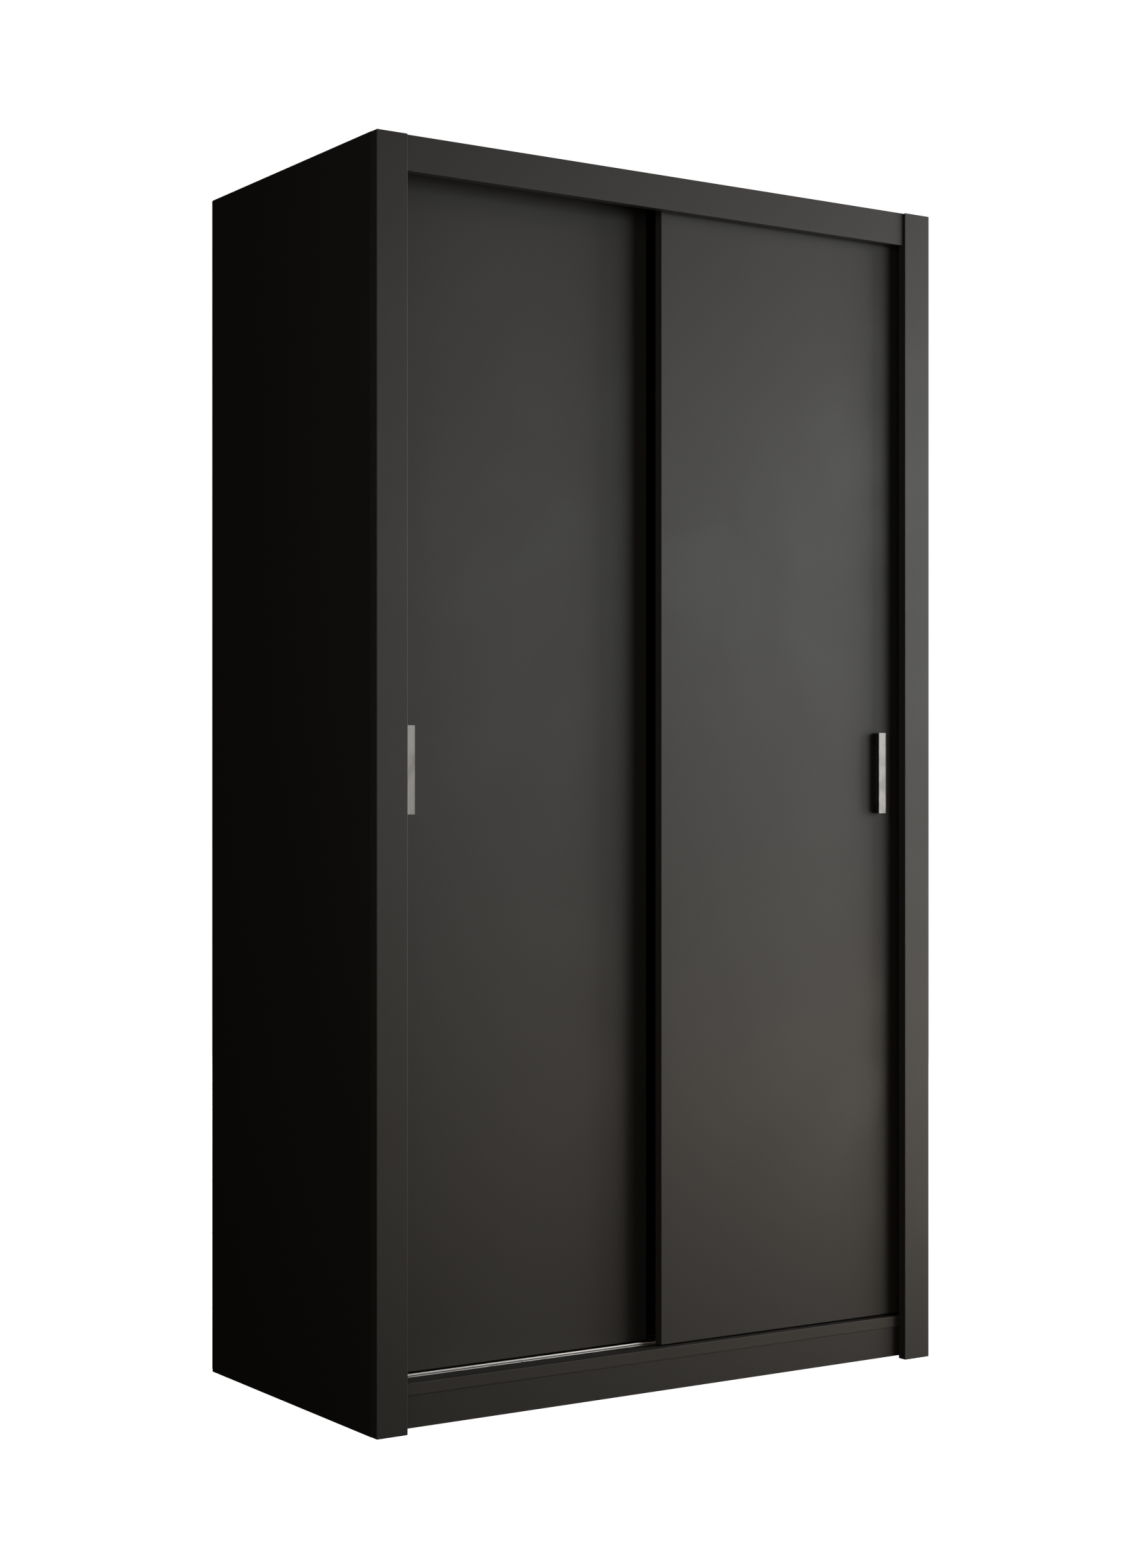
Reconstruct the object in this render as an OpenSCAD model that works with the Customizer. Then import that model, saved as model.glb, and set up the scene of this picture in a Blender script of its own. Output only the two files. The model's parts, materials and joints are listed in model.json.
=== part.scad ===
// Wardrobe with two sliding doors on separate bottom rails.
// Origin: centre of the footprint on the floor. +X to the right, +Y to the back, +Z up.
// Depths are named "behind": millimetres behind the front faces of the posts.

/* [Overall size] */
// Width over the two side panels
width = 1200; // [1000:10:1500]
// Depth from the front of the posts to the back
depth = 610; // [500:10:720]
// Height above the floor
height = 2150; // [1750:10:2600]

/* [Boards] */
// Thickness of the carcass boards
board_t = 16; // [15:1:22]
// Thickness of the bottom panel
base_t = 20; // [18:1:28]
// Underside of the bottom panel above the floor
base_z = 60; // [50:5:120]
// Thickness of the back panels
back_t = 3; // [2.5:0.5:5]
// Width of each front post
post_w = 60; // [40:2:90]
// Thickness of each front post
post_t = 18; // [16:1:25]
// Height of the top fascia
fascia_h = 60; // [45:5:100]
// Fascia face behind the post faces
fascia_behind = 5; // [0:1:8]
// Plinth face behind the edge of the bottom panel
plinth_inset = 2; // [0:1:20]
// Gap between plinth and floor
plinth_lift = 5; // [3:1:20]

/* [Doors] */
// Thickness of each door
door_t = 18; // [16:1:25]
// Front face of the front door behind the post faces
door_behind = 30; // [25:1:45]
// Distance between the two door planes
door_pitch = 50; // [46:1:70]
// Overlap of the closed doors
door_overlap = 4; // [0:1:40]
// Gap between a closed door and the side panel
door_side_gap = 2; // [1.5:0.5:6]
// Gap under the doors
door_under_gap = 3.3; // [3:0.1:8]
// Gap over the doors, up to the top panel
door_over_gap = 18; // [17:1:22]

/* [Handles] */
// Length of a handle
handle_l = 150; // [100:10:400]
// Width of a handle bar
handle_w = 16; // [10:1:24]
// Thickness of a handle bar
handle_bar_t = 8; // [5:1:12]
// Finger gap behind a handle bar
handle_gap = 8; // [6:1:20]
// Distance between the handle screws
handle_screw_gap = 128; // [64:32:352]
// From the outer door edge to the outer handle edge
handle_inset = 77; // [30:1:120]
// Centre of the handles above the floor
handle_z = 1100; // [900:10:1250]

/* [Running gear] */
// Radius at the bottom of a wheel's groove
roll_r = 11; // [9:0.5:16]
// Depth of the groove
groove_depth = 2; // [1.5:0.5:3]
// Width of a wheel
wheel_w = 8; // [7:1:12]
// Radius of a wheel's axle
axle_r = 2.5; // [2:0.5:4]
// Wheel plane behind the back face of its door
wheel_behind = 15; // [14:1:20]
// Wheel centre from the edge of its door
wheel_inset = 60; // [45:5:150]
// Height of a bottom rail
rail_h = 5; // [4:0.5:8]
// Width of a bottom rail's foot
rail_w = 18; // [16:1:24]
// Thickness of a bottom rail's foot and of its rib
rail_t = 1.2; // [1:0.1:2]
// Inner width of a top track
track_w = 7; // [6:1:10]
// Height of a top track
track_h = 16; // [14:1:17]
// Wall of a top track
track_t = 1.5; // [1:0.1:2]

/* [Interior] */
// Free depth between the running gear and the divider
shelf_gap = 11; // [5:1:60]
// Top face of the hat shelves below the top panel
hat_gap = 340; // [200:10:500]
// Radius of the hanging rail
rod_r = 12.5; // [8:0.5:16]
// Wall of the hanging rail
rod_t = 1; // [0.8:0.1:2]
// Centre of the hanging rail below the hat shelf
rod_drop = 60; // [45:5:120]

/* [Fittings] */
// Radius of a cam lock
cam_r = 7.5; // [6:0.5:9]
// Depth of a cam lock past the middle of its board
cam_under = 4.5; // [3.5:0.25:5]
// Centre of a cam lock from the end of its board
cam_back = 24; // [20:1:34]
// Radius of a cam stud's thread
stud_r = 2.5; // [2:0.25:3]
// Radius of a wooden dowel
dowel_r = 4; // [3:0.5:4]
// Length of a wooden dowel
dowel_l = 30; // [25:1:35]
// Radius of a shelf pin
pin_r = 2.5; // [2:0.5:3]
// Spacing of the shelf pin holes
pin_pitch = 32; // [25:1:40]
// Distance between the two wall brackets
bracket_gap = 720; // [600:20:720]
// Radius of the wall screw holes
bracket_hole_r = 3; // [2:0.5:4]

/* [Hidden] */
$fn = 48;

// Colours
BLACK_BOARD = [0.13, 0.13, 0.12];
BROWN_BACK = [0.2, 0.17, 0.14];
ALUMINIUM = [0.72, 0.71, 0.69];
ZINC = [0.6, 0.6, 0.62];
BLACK_PLASTIC = [0.06, 0.06, 0.06];
WHITE_NYLON = [0.85, 0.85, 0.82];
BEECH = [0.78, 0.6, 0.4];

// Clearances
run_fit = 0.05;    // a wheel on its axle
seat_fit = 0.05;   // a stud, pin, axle or screw in its own hole
rail_fit = 0.3;    // a wheel over its rail, a door beside its stop
end_fit = 1;       // loose ends: rails, tracks, shelves, dowels
housing_fit = 0.5; // a wheel between the cheeks of its housing
eps = 0.01;        // overshoot of a cut past a face

// Carcass planes
half_w = width / 2;
inner_x = half_w - board_t;
divider_x = board_t / 2;
strip_lip = 1;
carcass_back = depth - strip_lip - back_t;
base_top = base_z + base_t;
top_under = height - board_t;
base_mid = base_z + base_t / 2;
top_mid = height - board_t / 2;
plinth_behind = post_t + plinth_inset;
plinth_mid = (plinth_lift + base_z) / 2;
support_front = plinth_behind + board_t;
support_back = carcass_back - board_t;

// Doors: the right one runs in front of the left one
door_w = inner_x - door_side_gap + door_overlap / 2;
door_z = base_top + door_under_gap;
door_top = top_under - door_over_gap;
right_front = door_behind;
left_front = door_behind + door_pitch;

// Running gear
wheel_r = roll_r + groove_depth;
rail_top = base_top + rail_h;
axle_z = rail_top + rail_fit + roll_r;
groove_flat = rail_t + rail_fit;
groove_mouth = groove_flat + 1.2;
housing_lift = 1;
housing_z = rail_top + housing_lift;
housing_past = 7;
housing_l = 2 * (wheel_r + housing_past);
cheek_t = 5;
plate_t = 3;
plate_ear = 8;
plate_w = housing_l + 2 * plate_ear;
plate_rise = 44;
plate_h = 2 * wheel_r + plate_rise;
slot_half = wheel_w / 2 + housing_fit;
housing_depth = wheel_behind + slot_half + cheek_t;
wheel_clear = 1.5;
slot_top = axle_z + wheel_r + wheel_clear;
housing_roof = 6;
housing_top = slot_top + housing_roof;
axle_head_t = 1.2;
axle_head_r = axle_r + 1.5;
screw_r = 1.75;
screw_head_r = 3.5;
screw_head_t = 2;
screw_l = 12;
screw_hole_r = screw_r + 0.25;
screw_in_edge = 9;
plate_screw_x = plate_w / 2 - screw_in_edge;
plate_screw_z = housing_z + plate_h - 8;
foot_screw_r = 1.2;
foot_screw_head_r = 2;
foot_screw_head_t = 0.8;
foot_screw_off = rail_w / 2 - 2.2;
foot_screw_stagger = 6;
rail_screw_inset = 40;
rail_screw_x = [for (n = [-2 : 2]) n * (inner_x - rail_screw_inset) / 2];

// Top guides
tongue_fit = 1;
tongue_t = track_w - 2 * tongue_fit;
tongue_clear = 2;
tongue_top = top_under - track_t - screw_head_t - tongue_clear;
tongue_short = 3;
track_bottom = top_under - track_h;
guide_l = 36;
guide_arm_t = 8;
guide_clear = 3;
guide_arm_top = track_bottom - guide_clear;
guide_plate_h = 44;
guide_screw_x = guide_l / 2 - screw_in_edge;
guide_screw_z = guide_arm_top - guide_plate_h + 10;

// Rubber stops for the doors
bumper_r = 5;
bumper_t = door_side_gap - rail_fit;
bumper_z = [height * 0.14, height * 0.86];

// Handle screws
handle_screw_r = 2;
handle_screw_head_r = 4;
handle_screw_head_t = 2.4;
handle_skin = 3;
handle_screw_z = [handle_z - handle_screw_gap / 2, handle_z + handle_screw_gap / 2];

// Interior
shelf_count = 4;
shelf_behind = left_front + door_t + housing_depth + axle_head_t + shelf_gap;
shelf_back = carcass_back;
hat_top = top_under - hat_gap;
hat_z = hat_top - board_t;
hat_mid = hat_z + board_t / 2;
shelf_step = pin_pitch * floor((hat_z - base_top - board_t) / (shelf_count + 1) / pin_pitch);
pin_first = base_top + shelf_step;
pin_row_front = 37;
pin_row_back = 60;
pin_rows = [shelf_behind + pin_row_front, shelf_back - pin_row_back];
shelf_setback = 5;
shelf_back_gap = 2;
pin_hole_l = 10;
pin_l = 9;
pin_out = 8;
rod_z = hat_z - rod_drop;
rod_behind = (shelf_behind + shelf_back) / 2;
socket_flange_t = 3;
socket_l = 14;
socket_wall = 2.5;
socket_ear_r = 6;
socket_ear = rod_r + socket_wall + socket_ear_r + 1;
bracket_t = 2;
bracket_leg = 40;
bracket_w = 20;
bracket_hole_z = top_under - 24;
bracket_screw_out = 28;

// Nail-on glides and the nails of the back
glide_r = 10;
glide_inset = 50;
glide_nail_r = 1;
glide_nail_l = 12;
nail_r = 0.8;
nail_l = 17;
nail_head_r = 2.5;
nail_head_t = 0.8;
nail_side_z = [for (n = [1 : 10]) height * n / 11];
nail_row_x = [for (side = [-1, 1], n = [1 : 3]) side * inner_x * n / 3.5];

// Joints of the carcass: [place on the joint's plane, turn], where local +X runs into the board
// that holds the cam and local +Z points out of the face that the cam is set in
cam_inset = 60;
dowel_inset = 100;
stagger = 20;
stud_thread_l = 11;
stud_bore_r = stud_r + 1.5;
stud_collar_l = 1.5;
stud_neck_l = 4;
cam_slot = [7, 1.4, 3];
dowel_in_face = 12;
dowel_in_end = dowel_l - dowel_in_face + end_fit;
post_cam_z = [height * 0.1, height / 2, height * 0.9];
post_dowel_z = [height * 0.3, height * 0.7];
fascia_cam_x = [-inner_x * 0.8, 0, inner_x * 0.8];

function y(behind) = behind - depth / 2;
function ends(front, back, inset) = [front + inset, back - inset];

// Both ends of a board that lies along X, cams open downwards
function end_joints(x0, x1, z, spots) = [
    for (f = spots) [[x0, y(f), z], [180, 0, 0]],
    for (f = spots) [[x1, y(f), z], [0, 180, 0]]
];
top_cams = end_joints(-inner_x, inner_x, top_mid, ends(post_t, carcass_back, cam_inset));
top_dowels = end_joints(-inner_x, inner_x, top_mid, ends(post_t, carcass_back, dowel_inset));
base_cams = end_joints(-inner_x, inner_x, base_mid, ends(post_t, carcass_back, cam_inset + 5));
base_dowels = end_joints(-inner_x, inner_x, base_mid, ends(post_t, carcass_back, dowel_inset));
hat_left_cams = end_joints(-inner_x, -divider_x, hat_mid, ends(shelf_behind, shelf_back, cam_inset));
hat_left_dowels = end_joints(-inner_x, -divider_x, hat_mid, ends(shelf_behind, shelf_back, dowel_inset));
hat_right_cams = end_joints(divider_x, inner_x, hat_mid,
                            ends(shelf_behind, shelf_back, cam_inset + stagger));
hat_right_dowels = end_joints(divider_x, inner_x, hat_mid,
                              ends(shelf_behind, shelf_back, dowel_inset + stagger));
divider_spots = ends(shelf_behind, carcass_back, cam_inset);
divider_dowel_spots = ends(shelf_behind, carcass_back, dowel_inset);
divider_top_cams = [for (f = divider_spots) [[0, y(f), top_under], [0, 90, 0]]];
divider_base_cams = [for (f = divider_spots) [[0, y(f), base_top], [0, -90, 180]]];
divider_top_dowels = [for (f = divider_dowel_spots) [[0, y(f), top_under], [0, 90, 0]]];
divider_base_dowels = [for (f = divider_dowel_spots) [[0, y(f), base_top], [0, -90, 180]]];
front_plinth_cams = [
    [[-inner_x, y(plinth_behind + board_t / 2), plinth_mid], [-90, 0, 0]],
    [[inner_x, y(plinth_behind + board_t / 2), plinth_mid], [90, 0, 180]]
];
rear_plinth_cams = [
    [[-inner_x, y(carcass_back - board_t / 2), plinth_mid], [90, 0, 0]],
    [[inner_x, y(carcass_back - board_t / 2), plinth_mid], [-90, 0, 180]]
];
support_dowels = [
    [[0, y(support_front), plinth_mid], [0, 0, 90]],
    [[0, y(support_back), plinth_mid], [0, 0, -90]]
];
post_left_cams = [for (z = post_cam_z) [[-half_w + board_t / 2, y(post_t), z], [90, 0, 90]]];
post_right_cams = [for (z = post_cam_z) [[half_w - board_t / 2, y(post_t), z], [-90, 0, 90]]];
post_left_dowels = [for (z = post_dowel_z) [[-half_w + board_t / 2, y(post_t), z], [90, 0, 90]]];
post_right_dowels = [for (z = post_dowel_z) [[half_w - board_t / 2, y(post_t), z], [-90, 0, 90]]];
fascia_cams = [for (x = fascia_cam_x) [[x, y(post_t), top_mid], [180, 0, 90]]];

all_cams = concat(top_cams, base_cams, hat_left_cams, hat_right_cams, divider_top_cams,
                  divider_base_cams, front_plinth_cams, rear_plinth_cams, post_left_cams,
                  post_right_cams, fascia_cams);
all_dowels = concat(top_dowels, base_dowels, hat_left_dowels, hat_right_dowels,
                    divider_top_dowels, divider_base_dowels, support_dowels,
                    post_left_dowels, post_right_dowels);

// ---- Basic shapes ----

// A board between two planes in each direction
module block(x0, x1, front, back, z0, z1) {
    translate([x0, y(front), z0]) cube([x1 - x0, back - front, z1 - z0]);
}

module rod_x(x0, x1, behind, z, r) {
    translate([x0, y(behind), z]) rotate([0, 90, 0]) cylinder(h = x1 - x0, r = r);
}

module rod_y(x, front, back, z, r) {
    translate([x, y(front), z]) rotate([-90, 0, 0]) cylinder(h = back - front, r = r);
}

module rod_z(x, behind, z0, z1, r) {
    translate([x, y(behind), z0]) cylinder(h = z1 - z0, r = r);
}

module at_each(joints) {
    for (j = joints) translate(j[0]) rotate(j[1]) children();
}

// Local +X cylinder, for everything that lies along a joint's axis
module along(x0, x1, r) {
    translate([x0, 0, 0]) rotate([0, 90, 0]) cylinder(h = x1 - x0, r = r);
}

// ---- Cuts and fittings at the carcass joints ----

// Pocket and end bore in the board that holds the cam
module cam_cut(board) {
    translate([cam_back, 0, -cam_under]) cylinder(h = board / 2 + cam_under + eps, r = cam_r);
    along(-eps, cam_back, stud_bore_r);
}

// Hole for the stud's thread in the other board
module stud_cut() {
    along(-stud_thread_l, eps, stud_r + seat_fit);
}

module dowel_end_cut() {
    along(-eps, dowel_in_end, dowel_r + seat_fit);
}

module dowel_face_cut() {
    along(-dowel_in_face - end_fit / 2, eps, dowel_r + seat_fit);
}

module cam_lock(board) {
    difference() {
        translate([cam_back, 0, -cam_under]) {
            cylinder(h = board / 2 + cam_under, r = cam_r - seat_fit);
        }
        along(cam_back - cam_r - 1, cam_back + 3, stud_r + 1.2);
        for (turn = [0, 90]) translate([cam_back, 0, board / 2]) rotate(turn) {
            cube(cam_slot, center = true);
        }
    }
}

module cam_stud() {
    along(end_fit / 2 - stud_thread_l, 0, stud_r);
    along(0, stud_collar_l, stud_r + 1);
    along(stud_collar_l, cam_back - stud_neck_l, stud_r - 0.5);
    along(cam_back - stud_neck_l, cam_back + 1, stud_r + 0.7);
}

module dowel() {
    along(-dowel_in_face, dowel_l - dowel_in_face, dowel_r);
}

// Screw with its head on the origin's plane and its shank along -Z
module screw(length) {
    cylinder(h = screw_head_t, r1 = screw_head_r, r2 = screw_head_r - 1);
    translate([0, 0, -length]) cylinder(h = length, r = screw_r);
}

// ---- Carcass ----

// Vertical board at one side; side is -1 on the left and +1 on the right
module side_panel(side) {
    color(BLACK_BOARD) difference() {
        block(side < 0 ? -half_w : inner_x, side < 0 ? -inner_x : half_w,
              post_t, carcass_back, 0, height);
        at_each(concat(top_cams, base_cams, hat_left_cams, hat_right_cams,
                       front_plinth_cams, rear_plinth_cams)) stud_cut();
        at_each(concat(top_dowels, base_dowels, hat_left_dowels, hat_right_dowels))
            dowel_face_cut();
        at_each(side < 0 ? post_left_cams : post_right_cams) cam_cut(board_t);
        at_each(side < 0 ? post_left_dowels : post_right_dowels) dowel_end_cut();
        if (side < 0) pin_holes(-inner_x, -1);
    }
}

// Rows of blind holes for the shelf pins, drilled towards dir from the plane x
module pin_holes(x, dir) {
    for (n = [1 : shelf_count], f = pin_rows, extra = [-1, 0, 1]) {
        z = pin_z(n) + extra * pin_pitch;
        x0 = dir < 0 ? x - pin_hole_l : x - eps;
        rod_x(x0, x0 + pin_hole_l + eps, f, z, pin_r + seat_fit);
    }
}

function shelf_z(n) = pin_first + (n - 1) * shelf_step;
function pin_z(n) = shelf_z(n) - pin_r;

module side_panel_left() { side_panel(-1); }
module side_panel_right() { side_panel(1); }

module front_post(side) {
    color(BLACK_BOARD) difference() {
        block(side < 0 ? -half_w : half_w - post_w, side < 0 ? post_w - half_w : half_w,
              0, post_t, 0, height);
        at_each(side < 0 ? post_left_cams : post_right_cams) stud_cut();
        at_each(side < 0 ? post_left_dowels : post_right_dowels) dowel_face_cut();
    }
}

module front_post_left() { front_post(-1); }
module front_post_right() { front_post(1); }

// Board between the posts, rebated along its top edge for the top panel
module top_fascia() {
    color(BLACK_BOARD) difference() {
        block(post_w - half_w, half_w - post_w, fascia_behind, fascia_behind + board_t,
              height - fascia_h, height);
        block(-half_w, half_w, post_t, depth, top_under, height + eps);
        at_each(fascia_cams) stud_cut();
    }
}

module top_panel() {
    color(BLACK_BOARD) difference() {
        block(-inner_x, inner_x, post_t, carcass_back, top_under, height);
        at_each(concat(top_cams, fascia_cams)) cam_cut(board_t);
        at_each(top_dowels) dowel_end_cut();
        at_each(divider_top_cams) stud_cut();
        at_each(divider_top_dowels) dowel_face_cut();
    }
}

module bottom_panel() {
    color(BLACK_BOARD) difference() {
        block(-inner_x, inner_x, post_t, carcass_back, base_z, base_top);
        at_each(base_cams) cam_cut(base_t);
        at_each(base_dowels) dowel_end_cut();
        at_each(divider_base_cams) stud_cut();
        at_each(divider_base_dowels) dowel_face_cut();
    }
}

module front_plinth() {
    color(BLACK_BOARD) difference() {
        block(-inner_x, inner_x, plinth_behind, plinth_behind + board_t, plinth_lift, base_z);
        at_each(front_plinth_cams) cam_cut(board_t);
        at_each(support_dowels) dowel_face_cut();
    }
}

module rear_plinth() {
    color(BLACK_BOARD) difference() {
        block(-inner_x, inner_x, support_back, carcass_back, plinth_lift, base_z);
        at_each(rear_plinth_cams) cam_cut(board_t);
        at_each(support_dowels) dowel_face_cut();
    }
}

module centre_support() {
    color(BLACK_BOARD) difference() {
        block(-divider_x, divider_x, support_front, support_back, plinth_lift, base_z);
        at_each(support_dowels) dowel_end_cut();
        for (f = ends(support_front, support_back, glide_inset)) {
            rod_z(0, f, plinth_lift - eps, plinth_lift + glide_nail_l + end_fit,
                  glide_nail_r + seat_fit);
        }
    }
}

// Nail-on glides that carry the centre support
module floor_glides() {
    color(BLACK_PLASTIC) for (f = ends(support_front, support_back, glide_inset)) {
        rod_z(0, f, 0, plinth_lift, glide_r);
        rod_z(0, f, 0, plinth_lift + glide_nail_l, glide_nail_r);
    }
}

module centre_divider() {
    color(BLACK_BOARD) difference() {
        block(-divider_x, divider_x, shelf_behind, carcass_back - strip_lip, base_top, top_under);
        at_each(concat(divider_top_cams, divider_base_cams)) cam_cut(board_t);
        at_each(concat(divider_top_dowels, divider_base_dowels)) dowel_end_cut();
        at_each(concat(hat_left_cams, hat_right_cams)) stud_cut();
        at_each(concat(hat_left_dowels, hat_right_dowels)) dowel_face_cut();
        pin_holes(-divider_x, 1);
    }
}

module hat_shelf(x0, x1, cams, pegs) {
    color(BLACK_BOARD) difference() {
        block(x0, x1, shelf_behind, shelf_back, hat_z, hat_top);
        at_each(cams) cam_cut(board_t);
        at_each(pegs) dowel_end_cut();
    }
}

module hat_shelf_left() { hat_shelf(-inner_x, -divider_x, hat_left_cams, hat_left_dowels); }
module hat_shelf_right() { hat_shelf(divider_x, inner_x, hat_right_cams, hat_right_dowels); }

// Adjustable shelf n, counted from the bottom
module shelf(n) {
    color(BLACK_BOARD)
        block(end_fit - inner_x, -divider_x - end_fit, shelf_behind + shelf_setback,
              shelf_back - shelf_back_gap, shelf_z(n), shelf_z(n) + board_t);
}

module shelf_pins() {
    color(ZINC) for (n = [1 : shelf_count], f = pin_rows) {
        rod_x(-inner_x - pin_l, -inner_x + pin_out, f, pin_z(n), pin_r);
        rod_x(-divider_x - pin_out, -divider_x + pin_l, f, pin_z(n), pin_r);
    }
}

module hanging_rail() {
    x0 = divider_x + socket_flange_t + end_fit / 2;
    x1 = inner_x - socket_flange_t - end_fit / 2;
    color(ALUMINIUM) difference() {
        rod_x(x0, x1, rod_behind, rod_z, rod_r);
        rod_x(x0 - eps, x1 + eps, rod_behind, rod_z, rod_r - rod_t);
    }
}

// Cup that holds one end of the hanging rail; local +Z points into the bay
module rail_socket() {
    difference() {
        union() {
            cylinder(h = socket_l, r = rod_r + socket_wall);
            translate([-socket_ear, -socket_ear_r, 0])
                cube([2 * socket_ear, 2 * socket_ear_r, socket_flange_t]);
            for (side = [-1, 1]) {
                translate([side * socket_ear, 0, 0]) cylinder(h = socket_flange_t, r = socket_ear_r);
            }
        }
        translate([0, 0, socket_flange_t]) cylinder(h = socket_l, r = rod_r + seat_fit);
        for (side = [-1, 1]) {
            translate([side * socket_ear, 0, -eps]) cylinder(h = socket_l, r = screw_hole_r);
        }
    }
}

module at_sockets() {
    translate([divider_x, y(rod_behind), rod_z]) rotate([0, 90, 0]) children();
    translate([inner_x, y(rod_behind), rod_z]) rotate([0, -90, 0]) children();
}

module rail_sockets() {
    color(ZINC) at_sockets() rail_socket();
}

module rail_socket_screws() {
    color(ZINC) at_sockets() for (side = [-1, 1]) {
        translate([side * socket_ear, 0, socket_flange_t]) screw(screw_l);
    }
}

module back_panel(side) {
    color(BROWN_BACK) difference() {
        block(side < 0 ? end_fit - half_w : strip_lip, side < 0 ? -strip_lip : half_w - end_fit,
              carcass_back, carcass_back + back_t, plinth_lift, height - end_fit);
        rod_y(side * bracket_gap / 2, carcass_back - eps, carcass_back + back_t + eps,
              bracket_hole_z, bracket_hole_r);
    }
}

module back_panel_left() { back_panel(-1); }
module back_panel_right() { back_panel(1); }

// H-section strip that joins the two halves of the back
module back_joint_strip() {
    color(BLACK_PLASTIC) union() {
        block(-divider_x, divider_x, carcass_back - strip_lip, carcass_back, base_top, top_under);
        block(-strip_lip, strip_lip, carcass_back, depth - strip_lip,
              plinth_lift, height - end_fit);
        block(-divider_x, divider_x, depth - strip_lip, depth, plinth_lift, height - end_fit);
    }
}

module back_nails() {
    color(ZINC) {
        for (side = [-1, 1], z = nail_side_z) back_nail(side * (half_w - board_t / 2), z);
        for (x = nail_row_x, z = [base_mid, hat_mid, top_mid]) back_nail(x, z);
    }
}

module back_nail(x, z) {
    rod_y(x, carcass_back - nail_l, depth - strip_lip + eps, z, nail_r);
    rod_y(x, depth - strip_lip, depth - strip_lip + nail_head_t, z, nail_head_r);
}

// ---- Rails and tracks ----

// Bottom rail: flat foot with a rounded rib; centre is its distance behind the posts
module lower_rail(centre) {
    color(ALUMINIUM) difference() {
        union() {
            block(end_fit - inner_x, inner_x - end_fit, centre - rail_w / 2, centre + rail_w / 2,
                  base_top, base_top + rail_t);
            block(end_fit - inner_x, inner_x - end_fit, centre - rail_t, centre + rail_t,
                  base_top, rail_top - rail_t);
            rod_x(end_fit - inner_x, inner_x - end_fit, centre, rail_top - rail_t, rail_t);
        }
        at_rail_screws(centre) translate([0, 0, -eps]) {
            cylinder(h = rail_t + 2 * eps, r = foot_screw_r + 0.2);
        }
    }
}

// Places on the bottom panel of the screws of one rail, on both sides of its rib
module at_rail_screws(centre) {
    for (x = rail_screw_x, side = [-1, 1]) {
        translate([x + foot_screw_stagger * side, y(centre + side * foot_screw_off), base_top])
            children();
    }
}

module lower_rail_front() { lower_rail(right_front + door_t + wheel_behind); }
module lower_rail_rear() { lower_rail(left_front + door_t + wheel_behind); }

// Top track: channel that opens downwards
module upper_track(centre) {
    color(ALUMINIUM) difference() {
        block(end_fit - inner_x, inner_x - end_fit, centre - track_w / 2 - track_t,
              centre + track_w / 2 + track_t, track_bottom, top_under);
        block(-inner_x, inner_x, centre - track_w / 2, centre + track_w / 2,
              track_bottom - eps, top_under - track_t);
        for (x = rail_screw_x) {
            rod_z(x, centre, top_under - track_t - eps, top_under + eps, screw_hole_r);
        }
    }
}

module upper_track_front() { upper_track(right_front + door_t + wheel_behind); }
module upper_track_rear() { upper_track(left_front + door_t + wheel_behind); }

module track_screws() {
    color(ZINC) for (f = [right_front, left_front]) {
        centre = f + door_t + wheel_behind;
        for (x = rail_screw_x) {
            translate([x, y(centre), top_under - track_t]) rotate([180, 0, 0]) screw(screw_l);
        }
        at_rail_screws(centre) foot_screw();
    }
}

// Small flat-headed screw in the foot of a bottom rail, from the top of the bottom panel
module foot_screw() {
    translate([0, 0, rail_t]) cylinder(h = foot_screw_head_t, r = foot_screw_head_r);
    translate([0, 0, -screw_l]) cylinder(h = screw_l + rail_t + eps, r = foot_screw_r);
}

module door_bumpers() {
    color(BLACK_PLASTIC) for (f = [right_front, left_front], z = bumper_z) {
        rod_x(-inner_x, bumper_t - inner_x, f + door_t / 2, z, bumper_r);
        rod_x(inner_x - bumper_t, inner_x, f + door_t / 2, z, bumper_r);
    }
}

// ---- Hardware groups ----

thick_cams = base_cams;
thin_cams = concat(top_cams, hat_left_cams, hat_right_cams, divider_top_cams, divider_base_cams,
                   front_plinth_cams, rear_plinth_cams, post_left_cams, post_right_cams,
                   fascia_cams);

module cam_locks() {
    color(ZINC) {
        at_each(thick_cams) cam_lock(base_t);
        at_each(thin_cams) cam_lock(board_t);
    }
}

module cam_studs() {
    color(ZINC) at_each(all_cams) cam_stud();
}

module dowels() {
    color(BEECH) at_each(all_dowels) dowel();
}

// Steel angles inside the top corner, through which the wardrobe is screwed to a wall
module wall_brackets() {
    color(ZINC) for (side = [-1, 1]) {
        x = side * bracket_gap / 2;
        difference() {
            union() {
                block(x - bracket_w / 2, x + bracket_w / 2, carcass_back - bracket_t, carcass_back,
                      top_under - bracket_leg, top_under);
                block(x - bracket_w / 2, x + bracket_w / 2, carcass_back - bracket_leg,
                      carcass_back, top_under - bracket_t, top_under);
            }
            rod_y(x, carcass_back - bracket_t - eps, carcass_back + eps,
                  bracket_hole_z, bracket_hole_r);
            rod_z(x, carcass_back - bracket_screw_out, top_under - bracket_t - eps,
                  top_under + eps, screw_hole_r);
        }
    }
}

module bracket_screws() {
    color(ZINC) for (side = [-1, 1]) {
        translate([side * bracket_gap / 2, y(carcass_back - bracket_screw_out),
                   top_under - bracket_t]) rotate([180, 0, 0]) screw(screw_l);
    }
}

// ---- Doors; side is -1 for the left (rear) door and +1 for the right (front) door ----

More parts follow.
